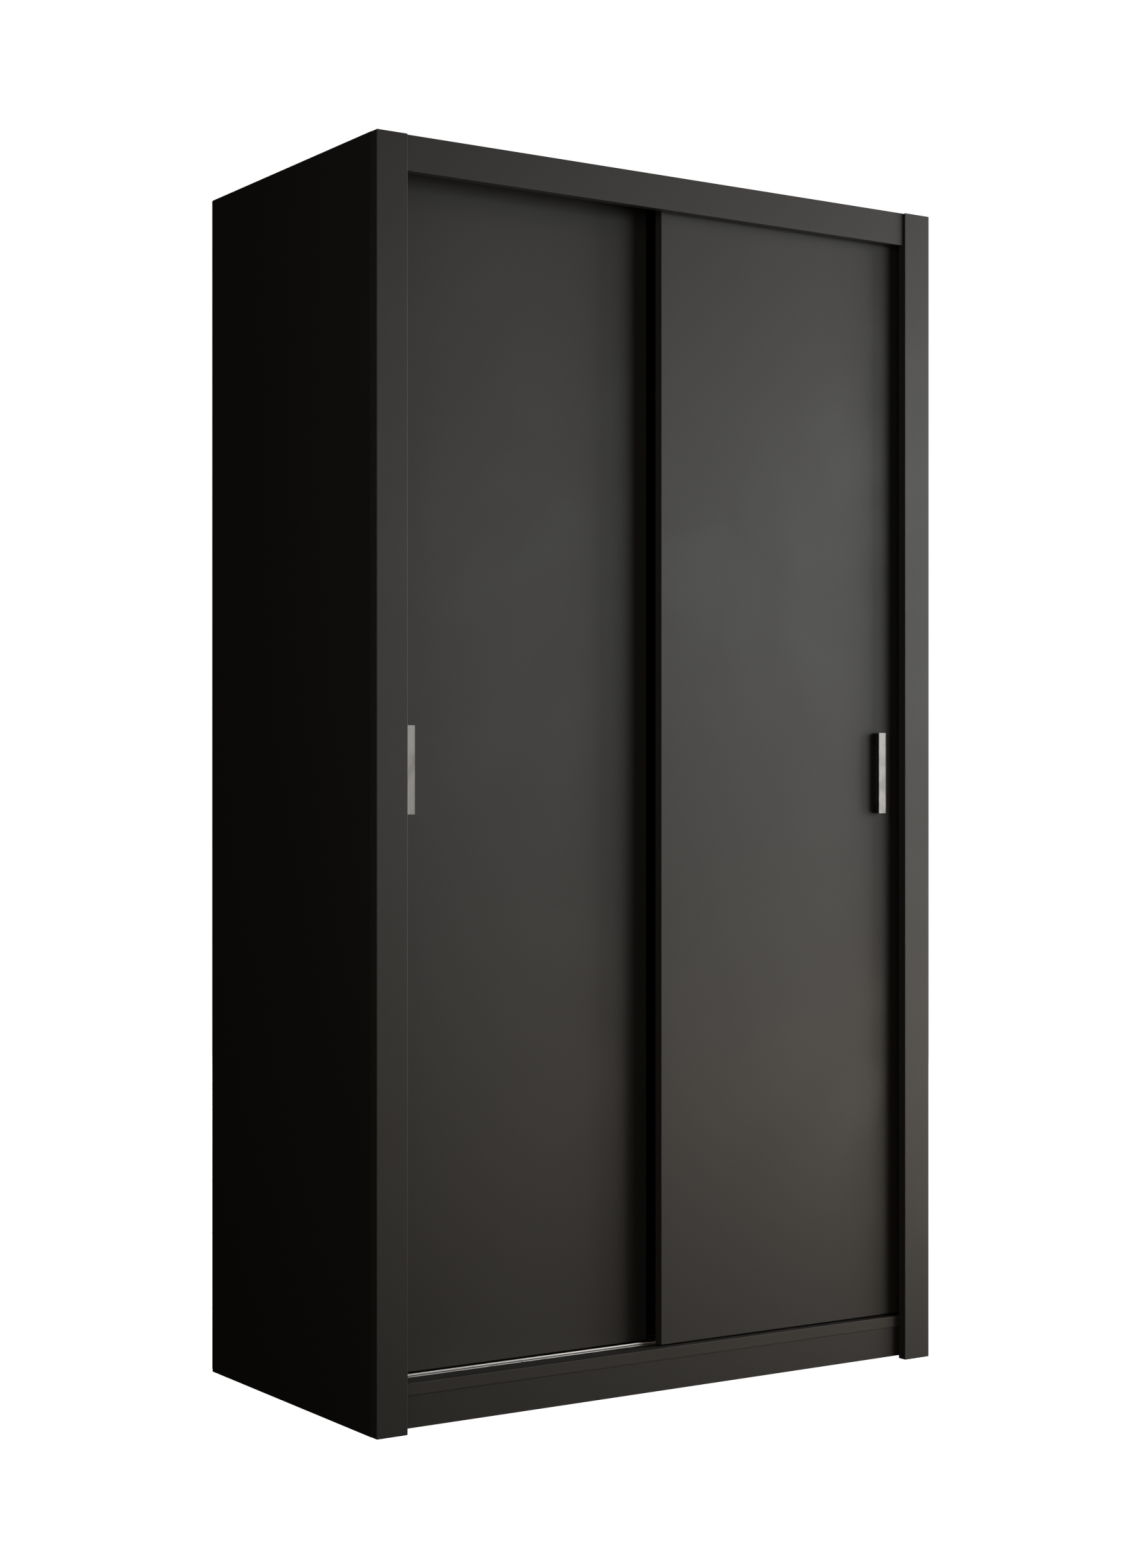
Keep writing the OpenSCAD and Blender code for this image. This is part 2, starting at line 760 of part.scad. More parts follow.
function door_front(side) = side < 0 ? left_front : right_front;
function door_back(side) = door_front(side) + door_t;
function door_outer(side) = side * (inner_x - door_side_gap);
function door_inner(side) = door_outer(side) - side * door_w;
function handle_x(side) = door_outer(side) - side * (handle_inset + handle_w / 2);
module door_panel(side) {
    color(BLACK_BOARD) difference() {
        block(min(door_outer(side), door_inner(side)), max(door_outer(side), door_inner(side)),
              door_front(side), door_back(side), door_z, door_top);
        for (z = handle_screw_z) {
            rod_y(handle_x(side), door_front(side) - eps, door_back(side) + eps, z,
                  handle_screw_r + 0.25);
        }
    }
}

module door_panel_left() { door_panel(-1); }
module door_panel_right() { door_panel(1); }

// Bar on two feet, tapped from behind for the handle screws
module handle(side) {
    x = handle_x(side);
    front = door_front(side) - handle_gap - handle_bar_t;
    foot_l = handle_l - handle_screw_gap;
    color(ALUMINIUM) difference() {
        block(x - handle_w / 2, x + handle_w / 2, front, door_front(side),
              handle_z - handle_l / 2, handle_z + handle_l / 2);
        block(x - handle_w / 2 - eps, x + handle_w / 2 + eps, front + handle_bar_t,
              door_front(side) + eps, handle_z - handle_l / 2 + foot_l,
              handle_z + handle_l / 2 - foot_l);
        for (z = handle_screw_z) {
            rod_y(x, front + handle_skin, door_front(side) + eps, z, handle_screw_r + seat_fit);
        }
    }
}

module handle_left() { handle(-1); }
module handle_right() { handle(1); }

module handle_screws(side) {
    front = door_front(side) - handle_gap - handle_bar_t;
    color(ZINC) for (z = handle_screw_z) {
        rod_y(handle_x(side), front + handle_skin + end_fit, door_back(side) + eps, z,
              handle_screw_r);
        rod_y(handle_x(side), door_back(side), door_back(side) + handle_screw_head_t, z,
              handle_screw_head_r);
    }
}

module handle_screws_left() { handle_screws(-1); }
module handle_screws_right() { handle_screws(1); }

// Wheel centres of a door: the outer one is beside the door's outer edge
function wheel_x(side, place) = place == "outer"
    ? door_outer(side) - side * wheel_inset : door_inner(side) + side * wheel_inset;

// Moulded bracket on the back of a door, with a cheek on each side of its wheel
module roller_housings(side) {
    back = door_back(side);
    color(BLACK_PLASTIC) for (place = ["outer", "inner"]) {
        x = wheel_x(side, place);
        difference() {
            union() {
                block(x - plate_w / 2, x + plate_w / 2, back, back + plate_t,
                      housing_z, housing_z + plate_h);
                block(x - housing_l / 2, x + housing_l / 2, back, back + housing_depth,
                      housing_z, housing_top);
            }
            block(x - housing_l / 2 - eps, x + housing_l / 2 + eps,
                  back + wheel_behind - slot_half, back + wheel_behind + slot_half,
                  housing_z - eps, slot_top);
            rod_y(x, back + plate_t, back + housing_depth + eps, axle_z, axle_r + seat_fit);
            for (s = [-1, 1]) {
                rod_y(x + s * plate_screw_x, back - eps, back + plate_t + eps,
                      plate_screw_z, screw_hole_r);
            }
        }
    }
}

module roller_housings_left() { roller_housings(-1); }
module roller_housings_right() { roller_housings(1); }

module roller_axles(side) {
    back = door_back(side);
    color(ZINC) for (place = ["outer", "inner"]) {
        x = wheel_x(side, place);
        rod_y(x, back + plate_t + end_fit / 2, back + housing_depth + eps, axle_z, axle_r);
        rod_y(x, back + housing_depth, back + housing_depth + axle_head_t, axle_z, axle_head_r);
    }
}

module roller_axles_left() { roller_axles(-1); }
module roller_axles_right() { roller_axles(1); }

module roller_screws(side) {
    back = door_back(side);
    color(ZINC) for (place = ["outer", "inner"], s = [-1, 1]) {
        translate([wheel_x(side, place) + s * plate_screw_x, y(back + plate_t), plate_screw_z])
            rotate([-90, 0, 0]) screw(screw_l);
    }
}

module roller_screws_left() { roller_screws(-1); }
module roller_screws_right() { roller_screws(1); }

// Grooved wheel that runs on the rib of its rail
module wheel(side, place) {
    half = wheel_w / 2;
    bore = axle_r + run_fit;
    color(WHITE_NYLON) translate([wheel_x(side, place), y(door_back(side) + wheel_behind), axle_z])
        rotate([90, 0, 0]) rotate_extrude($fn = 96) polygon([
            [bore, -half], [wheel_r, -half], [wheel_r, -groove_mouth], [roll_r, -groove_flat],
            [roll_r, groove_flat], [wheel_r, groove_mouth], [wheel_r, half], [bore, half]
        ]);
}

module wheel_left_outer() { wheel(-1, "outer"); }
module wheel_left_inner() { wheel(-1, "inner"); }
module wheel_right_outer() { wheel(1, "outer"); }
module wheel_right_inner() { wheel(1, "inner"); }

// Nylon guide on the back of a door, with a tongue that runs in the top track
module top_guides(side) {
    back = door_back(side);
    color(WHITE_NYLON) for (place = ["outer", "inner"]) {
        x = wheel_x(side, place);
        difference() {
            union() {
                block(x - guide_l / 2, x + guide_l / 2, back, back + plate_t,
                      guide_arm_top - guide_plate_h, guide_arm_top);
                block(x - guide_l / 2, x + guide_l / 2, back, back + wheel_behind + tongue_t / 2,
                      guide_arm_top - guide_arm_t, guide_arm_top);
                block(x - guide_l / 2 + tongue_short, x + guide_l / 2 - tongue_short,
                      back + wheel_behind - tongue_t / 2, back + wheel_behind + tongue_t / 2,
                      guide_arm_top - guide_arm_t, tongue_top);
            }
            for (s = [-1, 1]) {
                rod_y(x + s * guide_screw_x, back - eps, back + plate_t + eps, guide_screw_z,
                      screw_hole_r);
            }
        }
    }
}

module top_guides_left() { top_guides(-1); }
module top_guides_right() { top_guides(1); }

module guide_screws(side) {
    back = door_back(side);
    color(ZINC) for (place = ["outer", "inner"], s = [-1, 1]) {
        translate([wheel_x(side, place) + s * guide_screw_x, y(back + plate_t), guide_screw_z])
            rotate([-90, 0, 0]) screw(screw_l);
    }
}

module guide_screws_left() { guide_screws(-1); }
module guide_screws_right() { guide_screws(1); }

// ---- Nodes ----

side_panel_left();
side_panel_right();
front_post_left();
front_post_right();
top_fascia();
top_panel();
bottom_panel();
front_plinth();
rear_plinth();
centre_support();
floor_glides();
centre_divider();
hat_shelf_left();
hat_shelf_right();
shelf(1);  // shelf_1
shelf(2);  // shelf_2
shelf(3);  // shelf_3
shelf(4);  // shelf_4
shelf_pins();
hanging_rail();
rail_sockets();
rail_socket_screws();
back_panel_left();
back_panel_right();
back_joint_strip();
back_nails();
upper_track_front();
upper_track_rear();
lower_rail_front();
lower_rail_rear();
track_screws();
door_bumpers();
cam_locks();
cam_studs();
dowels();
wall_brackets();
bracket_screws();
door_panel_left();
handle_left();
handle_screws_left();
roller_housings_left();
roller_axles_left();
roller_screws_left();
top_guides_left();
guide_screws_left();
wheel_left_outer();
wheel_left_inner();
door_panel_right();
handle_right();
handle_screws_right();
roller_housings_right();
roller_axles_right();
roller_screws_right();
top_guides_right();
guide_screws_right();
wheel_right_outer();
wheel_right_inner();
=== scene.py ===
"""Sliding door wardrobe in matt black board: finishes, fittings, studio and camera."""

import json
import logging
import math
from dataclasses import dataclass
from enum import Enum
from typing import Any, Callable, Iterable, Optional, Sequence

import bmesh
import bpy
from mathutils import Matrix, Vector


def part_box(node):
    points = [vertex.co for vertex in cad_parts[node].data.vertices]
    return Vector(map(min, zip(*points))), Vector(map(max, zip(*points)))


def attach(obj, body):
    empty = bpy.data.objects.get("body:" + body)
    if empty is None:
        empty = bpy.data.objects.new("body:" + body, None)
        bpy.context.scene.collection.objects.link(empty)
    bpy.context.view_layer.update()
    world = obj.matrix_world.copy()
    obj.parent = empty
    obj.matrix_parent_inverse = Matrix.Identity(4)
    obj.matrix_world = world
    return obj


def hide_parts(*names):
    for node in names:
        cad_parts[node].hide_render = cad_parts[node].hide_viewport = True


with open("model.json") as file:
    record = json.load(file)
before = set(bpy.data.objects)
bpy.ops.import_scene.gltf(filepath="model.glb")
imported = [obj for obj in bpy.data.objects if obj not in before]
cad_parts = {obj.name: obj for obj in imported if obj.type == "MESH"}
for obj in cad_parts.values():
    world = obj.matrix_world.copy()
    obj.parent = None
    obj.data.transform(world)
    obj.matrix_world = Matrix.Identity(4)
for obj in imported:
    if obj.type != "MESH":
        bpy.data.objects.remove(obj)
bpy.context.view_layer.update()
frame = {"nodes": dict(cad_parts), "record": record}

LOG = logging.getLogger("wardrobe")
MM = 0.001
WELD_DISTANCE = 0.002 * MM
ON_PLANE = 0.01 * MM
SHARP_ANGLE = math.radians(28)
BREAK_ANGLE = math.radians(35)
Colour = tuple[float, float, float, float]
Socket = bpy.types.NodeSocket


def paint(red: float, green: float, blue: float) -> Colour:
    """Returns an opaque linear colour."""
    return (red, green, blue, 1.0)


class Axis(Enum):
    """The three directions of the frame."""

    X = 0
    Y = 1
    Z = 2

    @property
    def vector(self) -> Vector:
        """Unit vector along this direction."""
        return Vector([1.0 if n == self.value else 0.0 for n in range(3)])


class Side(Enum):
    """Which of the two doors a part belongs to."""

    LEFT = "left"
    RIGHT = "right"


class Drive(Enum):
    """What is cut into the head of a fastener."""

    CROSS = "cross"
    PLAIN = "plain"


# ---- Node trees ----


class Graph:
    """A node tree, with short ways to add to it."""

    def __init__(self, tree: bpy.types.NodeTree) -> None:
        """Keeps the shader or geometry node tree that is filled."""
        self.tree = tree

    def add(self, kind: str, **settings: Any) -> bpy.types.Node:
        """Adds a node.

        Args:
            kind: The node's type name.
            **settings: Properties that are set on the node.

        Returns:
            The new node.
        """
        node = self.tree.nodes.new(kind)
        for name, value in settings.items():
            setattr(node, name, value)
        return node

    def feed(self, socket: Socket, value: Any) -> None:
        """Links a socket to another one, or sets its own value.

        Args:
            socket: The input that is fed.
            value: An output socket, or a plain value.
        """
        if isinstance(value, bpy.types.NodeSocket):
            self.tree.links.new(value, socket)
        else:
            socket.default_value = value

    def maths(self, operation: str, *values: Any, clamp: bool = False) -> Socket:
        """Adds a Math node.

        Args:
            operation: The operation's name.
            *values: Its inputs, as sockets or numbers.
            clamp: Whether the result is kept between 0 and 1.

        Returns:
            The result's socket.
        """
        node = self.add("ShaderNodeMath", operation=operation, use_clamp=clamp)
        for socket, value in zip(node.inputs, values):
            self.feed(socket, value)
        return node.outputs[0]

    def vectors(self, operation: str, *values: Any) -> bpy.types.Node:
        """Adds a Vector Math node.

        Args:
            operation: The operation's name.
            *values: Its vector inputs, as sockets or vectors.

        Returns:
            The node.
        """
        node = self.add("ShaderNodeVectorMath", operation=operation)
        for socket, value in zip(node.inputs, values):
            self.feed(socket, value)
        return node

    def split(self, vector: Socket) -> bpy.types.NodeOutputs:
        """Splits a vector into its three parts.

        Args:
            vector: The vector's socket.

        Returns:
            The parts' sockets, in the order of Axis.
        """
        node = self.add("ShaderNodeSeparateXYZ")
        self.feed(node.inputs[0], vector)
        return node.outputs

    def total(self, start: Any, *shares: tuple[Any, float]) -> Socket:
        """Adds weighted values to a start, and keeps the sum between 0 and 1.

        Args:
            start: Value or socket that is added to.
            *shares: Each value with its weight.

        Returns:
            The sum's socket.
        """
        for count, (value, weight) in enumerate(shares, 1):
            share = self.maths("MULTIPLY", value, weight)
            start = self.maths("ADD", start, share, clamp=count == len(shares))
        return start

    def step(self, value: Any, low: float, high: float, to_low: float = 0.0,
             to_high: float = 1.0) -> Socket:
        """Maps a value smoothly and clamped from one range to another.

        Args:
            value: The value's socket.
            low: Input that gives to_low.
            high: Input that gives to_high.
            to_low: Output at the low end.
            to_high: Output at the high end.

        Returns:
            The mapped value's socket.
        """
        node = self.add("ShaderNodeMapRange", interpolation_type="SMOOTHSTEP", clamp=True)
        for socket, given in zip(node.inputs, (value, low, high, to_low, to_high)):
            self.feed(socket, given)
        return node.outputs[0]

    def mix(self, factor: Any, first: Any, second: Any) -> Socket:
        """Mixes two colours.

        Args:
            factor: Share of the second colour.
            first: Colour or socket.
            second: Colour or socket.

        Returns:
            The mixed colour's socket.
        """
        node = self.add("ShaderNodeMix", data_type="RGBA")
        self.feed(node.inputs[0], factor)
        self.feed(node.inputs[6], first)
        self.feed(node.inputs[7], second)
        return node.outputs[2]

    def noise(self, where: Socket, scale: Any, detail: float = 2.0,
              roughness: float = 0.5) -> Socket:
        """Adds a noise texture.

        Args:
            where: Position socket.
            scale: Features per metre.
            detail: Octaves.
            roughness: How strong the finer octaves are.

        Returns:
            The noise's value socket.
        """
        node = self.add("ShaderNodeTexNoise")
        self.feed(node.inputs["Vector"], where)
        self.feed(node.inputs["Scale"], scale)
        self.feed(node.inputs["Detail"], detail)
        self.feed(node.inputs["Roughness"], roughness)
        return node.outputs[0]

    def place(self, group: bpy.types.NodeTree, **values: Any) -> bpy.types.NodeOutputs:
        """Places a node group.

        Args:
            group: The group's tree.
            **values: Inputs by name, with _ for a space.

        Returns:
            The group node's outputs.
        """
        node = self.add("ShaderNodeGroup", node_tree=group)
        for name, value in values.items():
            self.feed(node.inputs[name.replace("_", " ")], value)
        return node.outputs


FLOAT = "NodeSocketFloat"
VECTOR = "NodeSocketVector"


def shader_group(name: str, inputs: dict[str, str], outputs: Sequence[str],
                 fill: Callable[[Graph, Any], dict[str, Socket]]) -> bpy.types.NodeTree:
    """Makes a shader node group.

    Args:
        name: Name of the group.
        inputs: Input names with their socket types.
        outputs: Names of the outputs, which are values.
        fill: Adds the nodes and returns a socket for each output.

    Returns:
        The group's tree.
    """
    tree = bpy.data.node_groups.new(name, "ShaderNodeTree")
    for label, kind in inputs.items():
        tree.interface.new_socket(name=label, in_out="INPUT", socket_type=kind)
    for label in outputs:
        tree.interface.new_socket(name=label, in_out="OUTPUT", socket_type=FLOAT)
    graph = Graph(tree)
    given = graph.add("NodeGroupInput").outputs
    end = graph.add("NodeGroupOutput")
    for label, socket in fill(graph, given).items():
        graph.feed(end.inputs[label], socket)
    return tree


class Effects:
    """Surface effects that several finishes use, each one a node group."""

    def __init__(self) -> None:
        """Builds the groups."""
        self.zones = shader_group(
            "board_zones",
            {"Position": VECTOR, "Normal": VECTOR, "Low": VECTOR, "High": VECTOR,
             "Thin": VECTOR, "Band": FLOAT},
            ("Edging", "Core", "Seam", "Edge Distance"), self.fill_zones)
        self.pearl = shader_group(
            "pearl_texture", {"Position": VECTOR, "Scale": FLOAT}, ("Height", "Mottle"),
            self.fill_pearl)
        self.streaks = shader_group(
            "long_streaks", {"Position": VECTOR, "Stretch": VECTOR}, ("Height", "Shade"),
            self.fill_streaks)
        self.wear = shader_group(
            "worn_edges",
            {"Position": VECTOR, "Edge Distance": FLOAT, "Width": FLOAT, "Amount": FLOAT},
            ("Mask",), self.fill_wear)
        self.dust = shader_group(
            "dust_film", {"Position": VECTOR, "Normal": VECTOR, "Amount": FLOAT}, ("Mask",),
            self.fill_dust)
        self.marks = shader_group(
            "hand_marks", {"Position": VECTOR, "Scale": FLOAT, "Amount": FLOAT}, ("Mask",),
            self.fill_marks)

    @staticmethod
    def fill_zones(graph: Graph, given: Any) -> dict[str, Socket]:
        """Tells the face of a board from its edging and from the core in its bores.

        Args:
            graph: The group's graph.
            given: The group's inputs.

        Returns:
            A socket for each output.
        """
        above = graph.vectors("SUBTRACT", given["Position"], given["Low"]).outputs[0]
        below = graph.vectors("SUBTRACT", given["High"], given["Position"]).outputs[0]
        nearest = graph.vectors("MINIMUM", above, below).outputs[0]
        a, b, c = graph.split(nearest)
        low_pair = graph.maths("MINIMUM", a, b)
        high_pair = graph.maths("MAXIMUM", a, b)
        first = graph.maths("MINIMUM", low_pair, c)
        second = graph.maths("MAXIMUM", low_pair, graph.maths("MINIMUM", high_pair, c))
        core = graph.step(first, 0.8 * MM, 1.2 * MM)
        facing = graph.maths("ABSOLUTE", graph.vectors(
            "DOT_PRODUCT", given["Normal"], given["Thin"]).outputs["Value"])
        side = graph.step(facing, 0.9, 0.3)
        near = graph.maths("LESS_THAN", second, given["Band"])
        edging = graph.maths("MULTIPLY", graph.maths("MAXIMUM", side, near),
                             graph.maths("SUBTRACT", 1.0, core))
        from_seam = graph.maths("ABSOLUTE", graph.maths("SUBTRACT", second, given["Band"]))
        seam = graph.maths("MULTIPLY", graph.step(from_seam, 0.15 * MM, 0.05 * MM),
                           graph.step(facing, 0.9, 0.99))
        return {"Edging": edging, "Core": core, "Seam": seam, "Edge Distance": second}

    @staticmethod
    def fill_pearl(graph: Graph, given: Any) -> dict[str, Socket]:
        """Fine pressed texture with a faint, wide mottle.

        Args:
            graph: The group's graph.
            given: The group's inputs.

        Returns:
            A socket for each output.
        """
        fine = graph.noise(given["Position"], given["Scale"], 3.0, 0.6)
        wide = graph.noise(given["Position"], 3.0, 3.0, 0.5)
        small = graph.noise(given["Position"], graph.maths("MULTIPLY", given["Scale"], 0.12), 2.0)
        mottle = graph.maths("ADD", graph.maths("MULTIPLY", wide, 0.6),
                             graph.maths("MULTIPLY", small, 0.4))
        return {"Height": fine, "Mottle": mottle}

    @staticmethod
    def fill_streaks(graph: Graph, given: Any) -> dict[str, Socket]:
        """Long lines, as brushing or an extruding die leaves them.

        Args:
            graph: The group's graph.
            given: The group's inputs.

        Returns:
            A socket for each output.
        """
        drawn = graph.vectors("MULTIPLY", given["Position"], given["Stretch"]).outputs[0]
        lines = graph.noise(drawn, 1.0, 4.0, 0.7)
        broad = graph.noise(drawn, 0.22, 2.0, 0.5)
        shade = graph.maths("ADD", graph.maths("MULTIPLY", lines, 0.5),
                            graph.maths("MULTIPLY", broad, 0.5))
        return {"Height": lines, "Shade": shade}

    @staticmethod
    def fill_wear(graph: Graph, given: Any) -> dict[str, Socket]:
        """Rubbed stretches along the edges.

        Args:
            graph: The group's graph.
            given: The group's inputs.

        Returns:
            A socket for each output.
        """
        reach = graph.maths("DIVIDE", given["Edge Distance"], given["Width"])
        close = graph.maths("SUBTRACT", 1.0, reach, clamp=True)
        patchy = graph.step(graph.noise(given["Position"], 22.0, 4.0, 0.65), 0.5, 0.72)
        return {"Mask": graph.maths("MULTIPLY", graph.maths("MULTIPLY", close, patchy),
                                    given["Amount"])}

    @staticmethod
    def fill_dust(graph: Graph, given: Any) -> dict[str, Socket]:
        """Thin dust on what faces upwards.

        Args:
            graph: The group's graph.
            given: The group's inputs.

        Returns:
            A socket for each output.
        """
        up = graph.step(graph.split(given["Normal"])[Axis.Z.value], 0.6, 1.0)
        drift = graph.step(graph.noise(given["Position"], 9.0, 5.0, 0.6), 0.3, 0.8)
        specks = graph.step(graph.noise(given["Position"], 900.0, 1.0), 0.55, 0.75, 0.5, 1.0)
        film = graph.maths("MULTIPLY", graph.maths("MULTIPLY", drift, specks), up)
        return {"Mask": graph.maths("MULTIPLY", film, given["Amount"])}

    @staticmethod
    def fill_marks(graph: Graph, given: Any) -> dict[str, Socket]:
        """Faint patches left by handling and wiping.

        Args:
            graph: The group's graph.
            given: The group's inputs.

        Returns:
            A socket for each output.
        """
        bend = graph.noise(given["Position"], 2.0, 2.0)
        shift = graph.add("ShaderNodeCombineXYZ")
        for socket in shift.inputs:
            graph.feed(socket, graph.maths("MULTIPLY", bend, 0.4))
        moved = graph.vectors("ADD", given["Position"], shift.outputs[0]).outputs[0]
        patch = graph.step(graph.noise(moved, given["Scale"], 5.0, 0.55), 0.42, 0.7)
        return {"Mask": graph.maths("MULTIPLY", patch, given["Amount"])}


class Surface(Graph):
    """A material's node tree that ends in one Principled shader."""

    def __init__(self, name: str) -> None:
        """Makes the material with its shader and coordinates.

        Args:
            name: Name of the material.
        """
        self.material = bpy.data.materials.new(name)
        self.material.use_nodes = True
        super().__init__(self.material.node_tree)
        self.tree.nodes.clear()
        self.shader = self.add("ShaderNodeBsdfPrincipled")
        end = self.add("ShaderNodeOutputMaterial")
        self.feed(end.inputs["Surface"], self.shader.outputs[0])
        where = self.add("ShaderNodeTexCoord")
        self.position = where.outputs["Object"]
        self.normal = where.outputs["Normal"]

    def set(self, **values: Any) -> None:
        """Feeds the shader's inputs, named with _ for a space."""
        for name, value in values.items():
            self.feed(self.shader.inputs[name.replace("_", " ")], value)

    def place(self, group: bpy.types.NodeTree, **values: Any) -> bpy.types.NodeOutputs:
        """Places a shared effect at the surface's own position."""
        return super().place(group, Position=self.position, **values)

    def bump(self, height: Socket, strength: float, distance: float) -> None:
        """Adds relief.

        Args:
            height: Height socket.
            strength: How much of the relief is felt.
            distance: Height of the relief in metres.
        """
        node = self.add("ShaderNodeBump")
        self.feed(node.inputs["Strength"], strength)
        self.feed(node.inputs["Distance"], distance)
        self.feed(node.inputs["Height"], height)
        self.feed(self.shader.inputs["Normal"], node.outputs[0])


# ---- Finishes ----


@dataclass(frozen=True)
class BoardFinish:
    """Matt black melamine on chipboard, with thin plastic edging."""

    face: Colour = paint(0.0295, 0.0288, 0.0272)
    face_pale: Colour = paint(0.0345, 0.0338, 0.0322)
    edging: Colour = paint(0.042, 0.041, 0.039)
    rubbed: Colour = paint(0.075, 0.073, 0.07)
    glue: Colour = paint(0.012, 0.0115, 0.011)
    chip_light: Colour = paint(0.42, 0.3, 0.18)
    chip_dark: Colour = paint(0.16, 0.1, 0.055)
    dust: Colour = paint(0.16, 0.155, 0.145)
    band: float = 0.9 * MM
    worn_width: float = 1.1 * MM
    worn: float = 0.55
    dusty: float = 0.3
    relief: float = 0.06 * MM
    texture_scale: float = 1300.0
    chip_scale: float = 420.0
    grain_scale: float = 700.0
    roughness: float = 0.5
    edging_roughness: float = 0.4

    def material(self, effects: Effects, name: str, low: Vector, high: Vector,
                 thin: Axis) -> bpy.types.Material:
        """Makes the material of one board.

        Args:
            effects: The shared effects.
            name: Name of the board.
            low: Its lowest corner.
            high: Its highest corner.
            thin: The direction of its thickness.

        Returns:
            The material.
        """
        surface = Surface(f"melamine_{name}")
        zones = surface.place(effects.zones, Normal=surface.normal, Low=low[:], High=high[:],
                              Thin=thin.vector[:], Band=self.band)
        pearl = surface.place(effects.pearl, Scale=self.texture_scale)
        marks = surface.place(effects.marks, Scale=3.5, Amount=1.0)
        wear = surface.place(effects.wear, Edge_Distance=zones["Edge Distance"],
                             Width=self.worn_width, Amount=self.worn)
        dust = surface.place(effects.dust, Normal=surface.normal, Amount=self.dusty)
        chips = self.chips(surface)
        colour = surface.mix(pearl["Mottle"], self.face, self.face_pale)
        colour = surface.mix(zones["Edging"], colour, self.edging)
        colour = surface.mix(wear["Mask"], colour, self.rubbed)
        colour = surface.mix(zones["Seam"], colour, self.glue)
        colour = surface.mix(dust["Mask"], colour, self.dust)
        colour = surface.mix(zones["Core"], colour, chips)
        rough = surface.total(
            self.roughness, (zones["Edging"], self.edging_roughness - self.roughness),
            (marks["Mask"], -0.05), (dust["Mask"], 0.5), (zones["Core"], 0.4))
        surface.set(Base_Color=colour, Roughness=rough, IOR=1.5)
        relief = surface.maths("MULTIPLY", pearl["Height"], surface.maths(
            "SUBTRACT", 1.0, surface.maths("MULTIPLY", zones["Edging"], 0.7)))
        surface.bump(relief, 0.35, self.relief)
        return surface.material

    def chips(self, surface: Surface) -> Socket:
        """Colour of bare chipboard.

        Args:
            surface: The material that it is added to.

        Returns:
            The colour's socket.
        """
        cells = surface.add("ShaderNodeTexVoronoi")
        surface.feed(cells.inputs["Vector"], surface.position)
        surface.feed(cells.inputs["Scale"], self.chip_scale)
        grain = surface.noise(surface.position, self.grain_scale, 3.0)
        spread = surface.maths("ADD", surface.maths("MULTIPLY", cells.outputs["Distance"], 0.7),
                               surface.maths("MULTIPLY", grain, 0.5), clamp=True)
        return surface.mix(spread, self.chip_dark, self.chip_light)


@dataclass(frozen=True)
class HardboardFinish:
    """Thin fibreboard, lacquered black on the inside and bare on the outside."""

    inside: Colour = paint(0.026, 0.025, 0.024)
    fibre_dark: Colour = paint(0.075, 0.045, 0.026)
    fibre_light: Colour = paint(0.17, 0.108, 0.066)
    fibre_scale: float = 260.0
    relief: float = 0.15 * MM
    roughness: float = 0.62

    def material(self, effects: Effects, name: str) -> bpy.types.Material:
        """Makes the material of the back panels.

        Args:
            effects: The shared effects.
            name: Name of the material.

        Returns:
            The material.
        """
        surface = Surface(name)
        bare = surface.step(surface.split(surface.normal)[Axis.Y.value], -0.6, -0.4)
        fibres = surface.noise(surface.position, self.fibre_scale, 6.0, 0.75)
        clouds = surface.noise(surface.position, 9.0, 5.0, 0.6)
        marks = surface.place(effects.marks, Scale=5.0, Amount=1.0)
        spread = surface.maths("ADD", surface.maths("MULTIPLY", fibres, 0.85),
                               surface.maths("MULTIPLY", clouds, 0.2), clamp=True)
        brown = surface.mix(surface.step(spread, 0.3, 0.8), self.fibre_dark, self.fibre_light)
        rough = surface.total(self.roughness, (marks["Mask"], 0.12), (bare, 0.15))
        surface.set(Base_Color=surface.mix(bare, self.inside, brown), Roughness=rough, IOR=1.45)
        surface.bump(fibres, 0.4, self.relief)
        return surface.material


